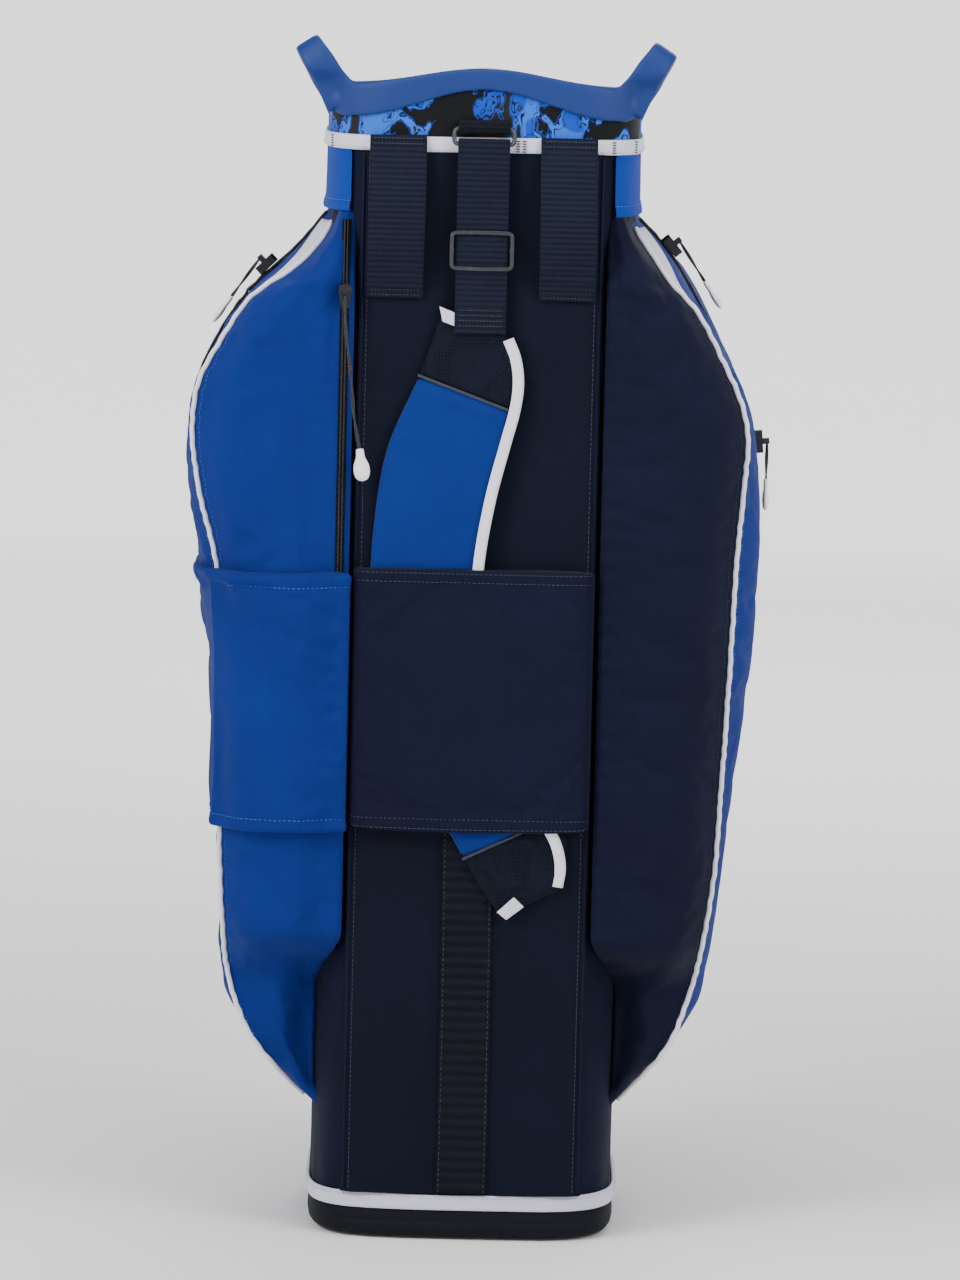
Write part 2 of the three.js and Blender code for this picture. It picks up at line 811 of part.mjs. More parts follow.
// Three-bar buckle: outer bars in front of the webbing, the middle bar between its two layers.
function strapBuckle() {
  const middleZ = 777;
  const halfWidth = 24.5;
  const halfHeight = 15.5;
  const bar = 3;
  const front = ringBarY - barRadius - 0.4 - 1.6 - clearance;
  const box = (x0, x1, z0, z1, yNear, yFar) => {
    const made = new THREE.BoxGeometry(x1 - x0, yFar - yNear, z1 - z0);
    return made.translate((x0 + x1) / 2, (yNear + yFar) / 2, (z0 + z1) / 2);
  };
  const frameNear = front - 2.2;
  const low = middleZ - halfHeight;
  const high = middleZ + halfHeight;
  const bars = [
    box(-halfWidth, halfWidth, high - bar, high, frameNear, front),
    box(-halfWidth, halfWidth, low, low + bar, frameNear, front),
    box(-halfWidth, halfWidth, middleZ - 1.5, middleZ + 1.5, ringBarY - 1.2, ringBarY + 1.2),
  ];
  const rails = [-1, 1].map((side) => {
    const [a, b] = [side * (webbingHalf + 0.8), side * halfWidth].sort((p, q) => p - q);
    return box(a, b, low, high, frameNear, ringBarY + 1.2);
  });
  return join(rails[0], rails[1], ...bars);
}

// Edges of the padded strap seen from behind, as [x, z], from its upper end to its lower end.
const capTop = [
  [-29, 734],
  [21, 712],
];
const upperSeam = [
  [-47, 680],
  [30, 652],
];
const lowerSeam = [
  [-4, 304],
  [62, 336],
];

const strapCapUpper = () =>
  plate([capTop[0], [-38, 706], upperSeam[0], upperSeam[1], [32.5, 674], [30.5, 692], capTop[1]], -130.5, padFar);

function strapPad() {
  const seamDrop = 0.6; // gap at the seam with the upper cap, for clearance along its slope
  return plate(
    [
      [upperSeam[0][0], upperSeam[0][1] - seamDrop],
      [-71, 622],
      [-80, 560],
      [-81, 505],
      [-72, 440],
      [-48, 378],
      [-14, 321],
      [lowerSeam[0][0], lowerSeam[0][1] + seamDrop],
      [lowerSeam[1][0], lowerSeam[1][1] + seamDrop],
      [44, 376],
      [20, 430],
      [6, 490],
      [6, 532],
      [14, 585],
      [25, 632],
      [upperSeam[1][0], upperSeam[1][1] - seamDrop],
    ],
    padNear,
    padFar,
  );
}

const strapCapLower = () =>
  plate([lowerSeam[0], [26, 259], [44, 268], [74, 282], [77.5, 305], [76, 325], lowerSeam[1]], -131.5, padFar);

const strapTail = () =>
  plate(
    [
      [-14, 352],
      [22, 296],
      [50, 310],
      [20, 372],
    ],
    -131.2,
    -126.2,
  );

// ---------------------------------------------------------------- zips

const sliderBase = 0.5; // above the zip track
const sliderThick = 7;
const pullHeight = 11; // the pull's middle plane above the track
const cordRadius = 1.4;
const tipLength = 25;

// Slider in its own axes: Z along the track, Y away from the bag. Its two ears hold the pull
// between them, beside the track or, where the pull hangs across the track, along it.
function zipSlider(hangsAcross) {
  const shape = new THREE.Shape();
  shape.moveTo(-3.2, -9);
  shape.lineTo(3.2, -9);
  shape.lineTo(5.2, 2);
  shape.lineTo(5.2, 7);
  shape.lineTo(2.5, 9);
  shape.lineTo(-2.5, 9);
  shape.lineTo(-5.2, 7);
  shape.lineTo(-5.2, 2);
  const body = new THREE.ExtrudeGeometry(shape, { depth: sliderThick, bevelEnabled: false });
  body.rotateX(Math.PI / 2).translate(0, sliderBase + sliderThick, 0);
  const ears = [-1, 1].map((side) => {
    const ear = new THREE.BoxGeometry(1.4, 6.5, 4.4);
    ear.translate(side * 2.7, pullHeight - 1.5, 0);
    return hangsAcross ? ear.rotateY(Math.PI / 2) : ear;
  });
  return join(body, ...ears);
}

// Pull cord and its moulded tip hang along -Z from the pull's pivot.
function pullCord(length) {
  const disc = new THREE.Shape().absarc(0, 0, cordRadius, 0, 2 * Math.PI);
  return new THREE.ExtrudeGeometry(disc, {
    steps: Math.round(length / 7),
    curveSegments: 4,
    bevelEnabled: false,
    extrudePath: new THREE.LineCurve3(new THREE.Vector3(0, 0, 0), new THREE.Vector3(0, 0, -length)),
  });
}

function pullTip(length) {
  const profile = [
    [0, 0],
    [3, 0],
    [3.2, -6],
    [6, -11],
    [6.5, -17],
    [5, -22.5],
    [2, -tipLength],
    [0, -tipLength],
  ].toReversed();
  const bulb = new THREE.LatheGeometry(profile.map(([r, z]) => new THREE.Vector2(r, z)), 12);
  bulb.rotateX(Math.PI / 2).scale(1, 0.4, 1);
  return bulb.translate(0, 0, -length - clearance);
}

// Each zip: a point on its track, the track's direction, the way out from the bag, how far the
// track runs back and on from the point, and the way its pull hangs and how long it is.
const zips = {
  rear_left_zip: {
    at: [-104, -127.4, 740],
    track: [0, 0, 1],
    out: [0, -1, 0],
    run: [-75, 28],
    hang: [0.115, 0, -0.993],
    cord: 118,
  },
  left_shoulder_zip: {
    at: [-165.6, -24, 752.6],
    track: [0.716, 0, 0.698],
    out: [-0.698, 0, 0.716],
    run: [-28, 24],
    hang: [-0.58, 0, -0.8146],
    cord: 38,
  },
  right_shoulder_zip: {
    at: [145.5, -24, 774.6],
    track: [-0.64, 0, 0.768],
    out: [0.768, 0, 0.64],
    run: [-28, 24],
    hang: [0.55, 0, -0.8352],
    cord: 38,
  },
  right_side_zip: {
    at: [217.6, 4, 622],
    track: [-0.085, 0, 0.9964],
    out: [0.9964, 0, 0.085],
    run: [-40, 20],
    hang: [0, 0, -1],
    cord: 30,
  },
  ball_pocket_zip: {
    at: [52, 202.8, 392],
    track: [1, 0, 0],
    out: [0, 1, 0],
    run: [-118, 14],
    hang: [0, 0, -1],
    cord: 45,
  },
  accessory_pocket_zip: {
    at: [46, 178.8, 712],
    track: [1, 0, 0],
    out: [0, 1, 0],
    run: [-106, 14],
    hang: [0, 0, -1],
    cord: 45,
  },
};

// Axes with Z along up, Y as near as can be to out.
function axesFrom(up, out) {
  const z = new THREE.Vector3(...up).normalize();
  const x = new THREE.Vector3().crossVectors(new THREE.Vector3(...out), z).normalize();
  const y = new THREE.Vector3().crossVectors(z, x);
  return new THREE.Matrix4().makeBasis(x, y, z);
}

// The straight stretch of track that a slider runs on, bedded in its pocket.
function zipTrack({ at, track, out, run }) {
  const width = 5;
  const depth = 6;
  const bar = new THREE.BoxGeometry(width, depth, run[1] - run[0]);
  bar.translate(0, -depth / 2, (run[0] + run[1]) / 2);
  return bar.applyMatrix4(axesFrom(track, out)).translate(...at);
}

// ---------------------------------------------------------------- assembly

const bag = new THREE.Group();

function add(name, geometry, material, parent = bag) {
  const mesh = new THREE.Mesh(geometry, material);
  mesh.name = name;
  parent.add(mesh);
  return mesh;
}

add("base_grip_pad", baseGripPad(), finishes.rubber);
add("base_cup", baseCup(), finishes.basePlastic);
add("base_trim", baseTrim(), finishes.whiteBinding);
add("body_liner", bodyLiner(), finishes.linerPlastic);
add("body_skin", bodySkin(), finishes.navyFabric);
add("spine_panel", spinePanel(), finishes.navyFabric);
add("spine_webbing", spineWebbing(), finishes.webbing);
add("cuff_side_band", cuffSideBand(), finishes.blueFabric);
add("cuff_band", cuffBand(), finishes.printedFabric);
add("cuff_trim", cuffTrim(), finishes.whiteBinding);
add("top_collar", topCollar(), finishes.collarPlastic);

["rear", "middle", "front"].forEach((place, i) => {
  add(`cross_divider_${place}`, crossDivider(crossDividers[i]), finishes.lining);
});
dividerRows().forEach(({ xs, from, to }, row) => {
  xs.forEach((x, i) => {
    add(`short_divider_row${row + 1}_${i + 1}`, shortDivider(x, from, to), finishes.lining);
  });
});

const leftTracks = [zips.rear_left_zip, zips.left_shoulder_zip].map(zipTrack);
const rightTracks = [zips.right_shoulder_zip, zips.right_side_zip].map(zipTrack);
const ballTracks = [zipTrack(zips.ball_pocket_zip)];
const accessoryTracks = [zipTrack(zips.accessory_pocket_zip)];
add("left_side_pocket", sidePocket(-1, leftFullness, leftTracks), finishes.blueFabric);
add("right_side_pocket", sidePocket(1, rightFullness, rightTracks), finishes.navyFabric);
add("ball_pocket", frontPocket(ballPocket, ballTracks), finishes.blueFabric);
add("accessory_pocket", frontPocket(accessoryPocket, accessoryTracks), finishes.navyFabric);
add("cart_strap_tunnel", strapTunnel(), finishes.blueFabric);
add("strap_sleeve", strapSleeve(), finishes.navyFabric);
add("cart_strap_loop_left", cartStrapLoop(-1), finishes.webbing);
add("cart_strap_loop_right", cartStrapLoop(1), finishes.webbing);

add("ring_anchor_loop", ringAnchorLoop(), finishes.webbing);
add("strap_ring", strapRing(), finishes.blackMetal);
add("strap_webbing", strapWebbing(), finishes.webbing);
add("strap_buckle", strapBuckle(), finishes.blackMetal);
add("strap_cap_upper", strapCapUpper(), finishes.mesh);
add("strap_pad", strapPad(), finishes.blueFabric);
add("strap_cap_lower", strapCapLower(), finishes.mesh);

for (const [name, zip] of Object.entries(zips)) {
  const slider = new THREE.Group();
  slider.applyMatrix4(axesFrom(zip.track, zip.out));
  slider.position.set(...zip.at);
  add(`${name}_slider`, zipSlider(zip.track[0] === 1), finishes.blackMetal, slider);
  const pull = new THREE.Group();
  pull.applyMatrix4(axesFrom(zip.hang.map((v) => -v), zip.out));
  pull.position.set(...zip.at.map((v, i) => v + pullHeight * zip.out[i]));
  add(`${name}_cord`, pullCord(zip.cord), finishes.cord, pull);
  add(`${name}_tip`, pullTip(zip.cord), finishes.whitePlastic, pull);
  bag.add(slider, pull);
}

export default bag;
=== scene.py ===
# A free-standing golf cart bag, seen from its strap side. Metres, +Z up, -Y is the strap side.
import math
import bpy
import numpy as np
from mathutils import Matrix, Vector, noise


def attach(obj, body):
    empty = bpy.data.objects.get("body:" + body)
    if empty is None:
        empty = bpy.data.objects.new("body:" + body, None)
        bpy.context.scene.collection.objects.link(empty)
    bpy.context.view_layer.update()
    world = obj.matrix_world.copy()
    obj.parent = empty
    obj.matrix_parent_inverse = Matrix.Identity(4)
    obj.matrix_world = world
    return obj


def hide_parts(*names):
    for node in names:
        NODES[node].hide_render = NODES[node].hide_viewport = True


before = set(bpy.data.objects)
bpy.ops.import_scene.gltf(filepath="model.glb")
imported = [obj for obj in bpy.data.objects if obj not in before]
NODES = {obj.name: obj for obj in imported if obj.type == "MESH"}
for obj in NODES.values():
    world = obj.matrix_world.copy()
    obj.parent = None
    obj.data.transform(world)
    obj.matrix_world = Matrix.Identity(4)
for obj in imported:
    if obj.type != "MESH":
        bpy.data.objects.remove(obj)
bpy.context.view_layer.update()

MM = 0.001
LEFT_RIGHT = (("left", -1), ("right", 1))
REAR = (0, -1, 0)  # the way out on the strap side

# ------------------------------------------------------------------ shapes, in millimetres


def v3(*p):
    return np.array(p, float)


def unit(v):
    v = np.asarray(v, float)
    return v / np.maximum(np.linalg.norm(v, axis=-1, keepdims=True), 1e-12)


def lerp(a, b, t):
    return a + (b - a) * t


def ramp(t):
    """A smooth step from 0 to 1."""
    t = np.clip(t, 0, 1)
    return t * t * (3 - 2 * t)


def bump(x, centre, width):
    return np.exp(-(((x - centre) / width) ** 2))


def raised(xy, z):
    """Flat points lifted to z, which is one height or one for each point."""
    return np.c_[xy, np.broadcast_to(z, len(xy))]


def distances(p):
    """Distance along a path from its first point to each one. A grid is measured row by row."""
    gap = np.linalg.norm(np.diff(p, axis=-2), axis=-1)
    return np.concatenate([np.zeros(gap.shape[:-1] + (1,)), np.cumsum(gap, axis=-1)], -1)


def points_at(at, s, p):
    return np.stack([np.interp(at, s, p[:, k]) for k in range(p.shape[1])], 1)


def mirrored(half):
    """Points on the +X side, then the same ones on the -X side in reverse."""
    return np.array(half + [(-p[0], *p[1:]) for p in reversed(half)], float)


def add_mesh(name, verts, faces):
    mesh = bpy.data.meshes.new(name)
    mesh.from_pydata((np.asarray(verts, float) * MM).tolist(), [], [list(map(int, f)) for f in faces])
    mesh.validate()
    mesh.polygons.foreach_set("use_smooth", [True] * len(mesh.polygons))
    mesh.update()
    return in_scene(name, mesh)


def in_scene(name, data):
    obj = bpy.data.objects.new(name, data)
    bpy.context.scene.collection.objects.link(obj)
    return obj


def grid_faces(rows, columns, wrap=False, wrap_rows=False):
    faces = []
    for i in range(rows if wrap_rows else rows - 1):
        k = (i + 1) % rows
        for j in range(columns if wrap else columns - 1):
            n = (j + 1) % columns
            faces.append((i * columns + j, i * columns + n, k * columns + n, k * columns + j))
    return faces


def end_caps(rows, columns):
    return [tuple(range(columns))[::-1], tuple(range((rows - 1) * columns, rows * columns))]


def surface(name, rows, wrap=False, caps=False):
    """A skin through a grid of points, rows x columns x 3."""
    rows = np.asarray(rows, float)
    n, m = rows.shape[:2]
    return add_mesh(name, rows.reshape(-1, 3), grid_faces(n, m, wrap) + (end_caps(n, m) if caps else []))


def join_parts(name, parts):
    """One mesh object from (verts, faces) pairs."""
    verts, faces, base = [], [], 0
    for v, f in parts:
        verts.append(v)
        faces += [tuple(base + i for i in face) for face in f]
        base += len(v)
    return add_mesh(name, np.concatenate(verts), faces)


def spline(points, counts, closed=False, corners=()):
    """A smooth curve through points with a given number of steps in each span."""
    p = np.asarray(points, float)
    n = len(p)
    spans = n if closed else n - 1
    counts = [counts] * spans if isinstance(counts, int) else counts
    out = []
    for i in range(spans):
        p1, p2 = p[i], p[(i + 1) % n]
        p0 = p[(i - 1) % n] if closed or i > 0 else p1
        p3 = p[(i + 2) % n] if closed or i + 2 < n else p2
        d = max(np.linalg.norm(p2 - p1), 1e-6)
        m1 = (p2 - p0) / max(d + np.linalg.norm(p1 - p0), 1e-6) * d
        m2 = (p3 - p1) / max(np.linalg.norm(p3 - p2) + d, 1e-6) * d
        if i in corners:
            m1 = p2 - p1
        if (i + 1) in corners:
            m2 = p2 - p1
        t = np.linspace(0, 1, counts[i], endpoint=False)[:, None]
        out.append((2 * t**3 - 3 * t**2 + 1) * p1 + (t**3 - 2 * t**2 + t) * m1
                   + (-2 * t**3 + 3 * t**2) * p2 + (t**3 - t**2) * m2)
    return np.concatenate(out + [p[:1] if closed else p[-1:]])


def curve_through(points, step, closed=False):
    """Points at an even step along a smooth curve through the given ones."""
    p = np.asarray(points, float)
    ahead = np.roll(p, -1, 0) if closed else p[1:]
    gaps = np.linalg.norm(ahead - p[:len(ahead)], axis=1)
    return resample(spline(p, [max(int(g / step * 2), 4) for g in gaps], closed), step, closed)


def curve_up(points, step, x=0):
    """A curve through (y, z) points, all at one x."""
    return curve_through([(x, y, z) for y, z in points], step)


def resample(p, step=None, closed=False, count=None):
    s = distances(p)
    at = np.linspace(0, s[-1], count or max(int(round(s[-1] / step)) + 1, 3))
    return points_at(at[:-1] if closed else at, s, p)


def tangents(p, closed=False):
    if closed:
        return unit(np.roll(p, -1, 0) - np.roll(p, 1, 0))
    return unit(np.gradient(p, axis=0))


def swept(path, section, side, closed=False, upright=False):
    """A closed section, [[across, up], ...], carried along a path. side gives the way up at each
    point, or one way up for all; upright keeps that way up exactly."""
    path = np.asarray(path, float)
    t = tangents(path, closed)
    up = np.broadcast_to(np.asarray(side, float), path.shape)
    across = unit(np.cross(t, up))
    if not upright:
        up = np.cross(across, t)
    section = np.asarray(section, float)
    if section.ndim == 2:
        section = np.broadcast_to(section, (len(path),) + section.shape)
    rows = path[:, None] + across[:, None] * section[:, :, :1] + up[:, None] * section[:, :, 1:]
    n, m = rows.shape[:2]
    return rows.reshape(-1, 3), grid_faces(n, m, True, closed) + ([] if closed else end_caps(n, m))


def turn(count):
    """Angles round a full circle."""
    return np.linspace(0, 2 * math.pi, count, endpoint=False)


def circle(radius, count):
    return radius * np.stack([np.cos(turn(count)), np.sin(turn(count))], 1)


def soft_square(count, power):
    c = circle(1, count)
    return np.sign(c) * np.abs(c) ** power


def flat_section(width, thick, edge=None):
    """A webbing or tape section: flat with rounded edges."""
    r = min(thick / 2, edge or thick / 2)
    a = np.linspace(-math.pi / 2, math.pi / 2, 4)
    right = np.stack([width / 2 - r + r * np.cos(a), thick / 2 * np.sin(a)], 1)
    mid = np.linspace(width / 2 - r, -(width / 2 - r), 7)[1:-1]
    top = np.stack([mid, np.full(5, thick / 2)], 1)
    return np.concatenate([right, top, right[::-1] * (-1, 1), top[::-1] * (1, -1)])


def stitch_parts(path, out, pitch, length, radius):
    """A row of sewn stitches along a path, each a short thread that dips in at both ends."""
    path = np.asarray(path, float)
    s = distances(path)
    count = max(int(s[-1] / pitch), 1)
    out = np.broadcast_to(np.asarray(out, float), path.shape)
    dip = np.array([-0.25, 0.12, 0.12, -0.25])[:, None]
    parts = []
    for i in range(count):
        at = (i + 0.5) * s[-1] / count + np.array([-0.5, -0.25, 0.25, 0.5]) * length
        n = unit(points_at(at, s, out))
        q = points_at(at, s, path) + n * dip
        a = np.cross(unit(q[3] - q[0]), n[1])
        ring = [q[j] + radius * r * (a * math.cos(angle) + n[j] * math.sin(angle) * 0.8)
                for j, r in enumerate((0.5, 1, 1, 0.5)) for angle in turn(4)]
        parts.append((np.array(ring), grid_faces(4, 4, True) + end_caps(4, 4)))
    return parts


def fractal(p, scale, octaves, seed, squash=1.0):
    """Smooth noise about -1..1 at each point of a path or grid, stretched upwards by 1 / squash."""
    off = Vector((seed * 17.3, seed * 5.1, seed * 9.7))
    spots = (p * v3(1, 1, squash)).reshape(-1, 3)
    return np.array([noise.fractal(Vector(q) / scale + off, 0.9, 2.0, octaves) for q in spots]).reshape(p.shape[:-1])


# ------------------------------------------------------------------ materials


def put(tree, socket, value):
    """Give a socket another node's output, a colour or a number."""
    if isinstance(value, bpy.types.NodeSocket):
        tree.links.new(value, socket)
    else:
        socket.default_value = (*value, 1) if socket.type == "RGBA" else value


class Nodes:
    """Short forms for building one material's node tree."""

    def __init__(self, name):
        self.mat = bpy.data.materials.new(name)
        self.mat.use_nodes = True
        place = self.new("ShaderNodeTexCoord", {})
        self.place, self.facing = place["Object"], place["Normal"]

    def new(self, kind, inputs, **settings):
        node = self.mat.node_tree.nodes.new(kind)
        for key, value in settings.items():
            setattr(node, key, value)
        for key, value in inputs.items():
            put(self.mat.node_tree, node.inputs[key], value)
        return node.outputs

    def math(self, op, a, b=0.5):
        return self.new("ShaderNodeMath", {0: a, 1: b}, operation=op)[0]

    def add(self, a, b):
        return self.math("ADD", a, b)

    def times(self, a, b):
        return self.math("MULTIPLY", a, b)

    def split(self, vector):
        return self.new("ShaderNodeSeparateXYZ", {0: vector})

    def scaled(self, *scale):
        return self.new("ShaderNodeMapping", {"Scale": scale, "Vector": self.place})[0]

    def noise(self, scale, detail=3.0, rough=0.55, distortion=0.0, vector=None):
        return self.new("ShaderNodeTexNoise", {
            "Scale": scale, "Detail": detail, "Roughness": rough, "Distortion": distortion,
            "Vector": vector or self.place})["Fac"]

    def span(self, value, low, high, to_low=0.0, to_high=1.0):
        return self.new("ShaderNodeMapRange", {0: value, 1: low, 2: high, 3: to_low, 4: to_high})[0]

    def mix(self, fac, a, b):
        return self.new("ShaderNodeMix", {0: fac, 6: a, 7: b}, data_type="RGBA")[2]

    def choose(self, test, a, b):
        return self.new("ShaderNodeMix", {0: test, 2: a, 3: b}, data_type="FLOAT")[0]

    def relief(self, height, distance, strength, after=None):
        below = {"Normal": after} if after else {}
        return self.new("ShaderNodeBump", {"Strength": strength, "Distance": distance, "Height": height, **below})[0]

    def across(self):
        """Coordinates that lie in the surface: one sideways, one up, whichever way it faces."""
        n, p = self.split(self.facing), self.split(self.place)
        nx, ny, nz = (self.math("ABSOLUTE", n[i]) for i in range(3))
        return (self.choose(self.math("GREATER_THAN", nx, ny), p[0], p[1]),
                self.choose(self.math("GREATER_THAN", nz, 0.8), p[2], p[1]))

    def wave(self, value, pitch, shift=None):
        angle = self.times(value, 2 * math.pi / pitch)
        return self.math("SINE", self.add(angle, shift) if shift else angle)

    def weave(self, pitch):
        """Plain weave relief: 0 in the gaps to 1 on top of the threads."""
        u, v = self.across()
        return self.span(self.times(self.wave(u, pitch), self.wave(v, pitch)), -1, 1)

    def finish(self, **inputs):
        for key, value in inputs.items():
            put(self.mat.node_tree, self.mat.node_tree.nodes["Principled BSDF"].inputs[key.replace("_", " ")], value)
        return self.mat


def rgb(r, g, b):
    """Linear colour from 0-255 display values."""
    return tuple(((c / 255 + 0.055) / 1.055) ** 2.4 if c > 10 else c / 255 / 12.92 for c in (r, g, b))


def shade(colour, k):
    return tuple(min(c * k, 1.0) for c in colour)


def fabric(name, colour, pitch=0.0009, depth=0.00018, rough=0.72, sheen=0.03, mottle=0.12, wrinkle=0.0011):
    """Woven polyester: fine plain weave with painted shade in its gaps, slight thread-to-thread variation and soft
    creases.
    """
    n = Nodes(name)
    weave = n.weave(pitch)
    thread = n.noise(1.0, 2, 0.6, vector=n.scaled(260, 260, 22))
    tone = n.mix(n.span(n.noise(9.0, 4), 0.3, 0.7), shade(colour, 1 - mottle), shade(colour, 1 + mottle))
    tone = n.mix(n.span(thread, 0.3, 0.7, 0.0, 0.28), tone, shade(colour, 0.72))
    # painted shade: the colour darkens in the weave's gaps between threads
    tone = n.mix(n.span(weave, 0.0, 0.55, 0.45, 0.0), tone, shade(colour, 0.4))
    fuzz = n.span(n.noise(420.0, 2), 0.3, 0.7, rough - 0.05, rough + 0.05)
    crease = n.relief(n.noise(24.0, 3, 0.5, 0.6), wrinkle * 2.2, 0.55)
    return n.finish(Base_Color=tone, Roughness=n.add(fuzz, n.span(weave, 0, 1, 0.05, 0.0)),
                    Normal=n.relief(weave, depth, 0.85, crease), Sheen_Weight=sheen, Sheen_Roughness=0.4,
                    Specular_IOR_Level=0.1)


def print_fabric(name):
    """The cuff's own blotchy two-tone print with fine outlines, on the same woven cloth."""
    n = Nodes(name)
    blue, light, dark, olive = rgb(16, 66, 176), rgb(42, 100, 205), rgb(12, 13, 16), rgb(30, 31, 25)
    place = n.scaled(1.0, 1.0, 0.6)
    drip = n.span(n.noise(105.0, 2, 0.45, 0.8, place), 0.35, 0.65, -0.035, 0.035)
    shape = n.add(n.noise(38.0, 2, 0.5, 1.0, place), drip)
    dark_tone = n.mix(n.span(n.noise(19.0, 1, vector=place), 0.5, 0.51), dark, olive)
    blue_tone = n.mix(n.span(n.noise(24.0, 1, 0.5, 0.8, place), 0.5, 0.51), blue, light)
    tone = n.mix(n.span(shape, 0.487, 0.49), dark_tone, blue_tone)
    for low, high, line in ((0.462, 0.472, blue), (0.53, 0.541, dark)):
        outline = n.times(n.span(shape, low, low + 0.002), n.span(shape, high, high + 0.002, 1.0, 0.0))
        tone = n.mix(outline, tone, line)
    weave = n.weave(0.0009)
    # painted shade: the print darkens in the weave's gaps between threads
    tone = n.mix(n.span(weave, 0.0, 0.55, 0.35, 0.0), tone, shade(dark, 0.6))
    normal = n.relief(weave, 0.00015, 0.8, n.relief(n.noise(24.0), 0.001, 0.5))
    return n.finish(Base_Color=tone, Roughness=0.68, Normal=normal, Sheen_Weight=0.03, Specular_IOR_Level=0.12)


def webbing(name, colour, pitch=0.0036, depth=0.0007):
    """Nylon webbing: ribs across the strap and twill cords along it."""
    n = Nodes(name)
    side, _ = n.across()
    rib = n.span(n.wave(n.split(n.place)[2], pitch, n.span(n.noise(240.0, 2), 0, 1, 0, 0.9)), -1, 1)
    cord = n.span(n.wave(side, 0.0021), -1, 1)
    # painted shade: the colour darkens in the grooves between the ribs
    tone = n.mix(n.span(rib, 0, 0.6, 0.65, 0.0), colour, shade(colour, 0.35))
    tone = n.mix(n.span(n.noise(30.0), 0.35, 0.7, 0, 0.25), tone, shade(colour, 1.5))
    return n.finish(Base_Color=tone, Roughness=n.span(rib, 0, 1, 0.86, 0.74), Sheen_Weight=0.01,
                    Normal=n.relief(n.add(n.times(rib, 0.8), n.times(cord, 0.25)), depth, 0.9),
                    Specular_IOR_Level=0.1)


def mesh_cloth(name, colour):
    """Spacer mesh: rows of small round holes, with painted shade darkening the inside of each hole."""
    n = Nodes(name)
    cell = n.new("ShaderNodeTexVoronoi", {"Scale": 380, "Randomness": 0.25, "Vector": n.place})
    hole = n.span(cell["Distance"], 0.18, 0.42)
    # painted shade: the colour darkens to 0.3 inside the holes
    return n.finish(Base_Color=n.mix(hole, shade(colour, 0.3), colour), Roughness=0.85,
                    Normal=n.relief(hole, 0.0004, 0.7), Sheen_Weight=0.02, Specular_IOR_Level=0.08)


def plastic(name, colour, rough=0.45, grain=0.00012, scale=900, wear=1.25, spec=0.45):
    """Moulded plastic: fine spark-eroded texture and faint scuffs."""
    n = Nodes(name)
    fine = n.noise(scale, 2, 0.6)
    scuff = n.noise(38.0, 5, 0.7, 0.8)
    tone = n.mix(n.span(scuff, 0.5, 0.78, 0, 0.35), colour, shade(colour, wear))
    tone = n.mix(n.span(fine, 0.3, 0.7, 0.0, 0.14), tone, shade(colour, 0.7))
    roughness = n.add(n.span(scuff, 0.3, 0.7, rough - 0.06, rough + 0.08), n.span(fine, 0, 1, -0.02, 0.04))
    return n.finish(Base_Color=tone, Roughness=roughness, Normal=n.relief(fine, grain, 0.8),
                    Specular_IOR_Level=spec)


def metal(name, colour, rough):
    """Dark plated die casting with fine grain and handling marks."""
    n = Nodes(name)
    fine = n.noise(700.0, 3, 0.6)
    rub = n.noise(120.0, 4, 0.7, 1.0)
    return n.finish(Base_Color=n.mix(n.span(rub, 0.52, 0.75, 0, 0.6), colour, shade(colour, 2.2)),
                    Roughness=n.span(rub, 0.3, 0.8, rough + 0.1, rough - 0.08),
                    Normal=n.relief(fine, 0.00008, 0.6), Metallic=0.85)


def binding(name, colour, pitch=0.0022):
    """Folded binding tape: cross ribs, a soft grey cast in random patches, and painted shade between the ribs."""
    n = Nodes(name)
    p = n.split(n.place)
    rib = n.span(n.wave(n.add(n.add(p[0], p[1]), p[2]), pitch), -1, 1)
    tone = n.mix(n.span(n.noise(45.0), 0.4, 0.75, 0, 0.5), colour, shade(colour, 0.86))
    # painted shade: the colour darkens in the grooves between the ribs
    tone = n.mix(n.span(rib, 0, 0.5, 0.18, 0.0), tone, shade(colour, 0.6))
    height = n.add(n.times(rib, 0.5), n.noise(90.0))
    return n.finish(Base_Color=tone, Roughness=0.66, Normal=n.relief(height, 0.0007, 0.7), Sheen_Weight=0.1)


def cord_cloth(name, colour, pitch=0.0026):
    """Braided cord."""
    n = Nodes(name)
    p = n.split(n.place)
    a, b = (n.wave(n.math(op, p[2], p[0]), pitch) for op in ("ADD", "SUBTRACT"))
    braid = n.span(n.math("MAXIMUM", a, b), -0.6, 1)
    # painted shade in the braid's grooves and painted highlight on its crests
    return n.finish(Base_Color=n.mix(braid, shade(colour, 0.35), shade(colour, 1.4)), Roughness=0.7,
                    Normal=n.relief(braid, 0.0005, 0.9), Sheen_Weight=0.15)


LOOKS = {}  # short name: (the record's slot, material)


def looks(slot, make, *rows):
    """Materials of one record slot, each (short name, material name, 0-255 colour, settings)."""
    for key, name, tint, settings in rows:
        LOOKS[key] = slot, make(name, rgb(*tint), **settings)


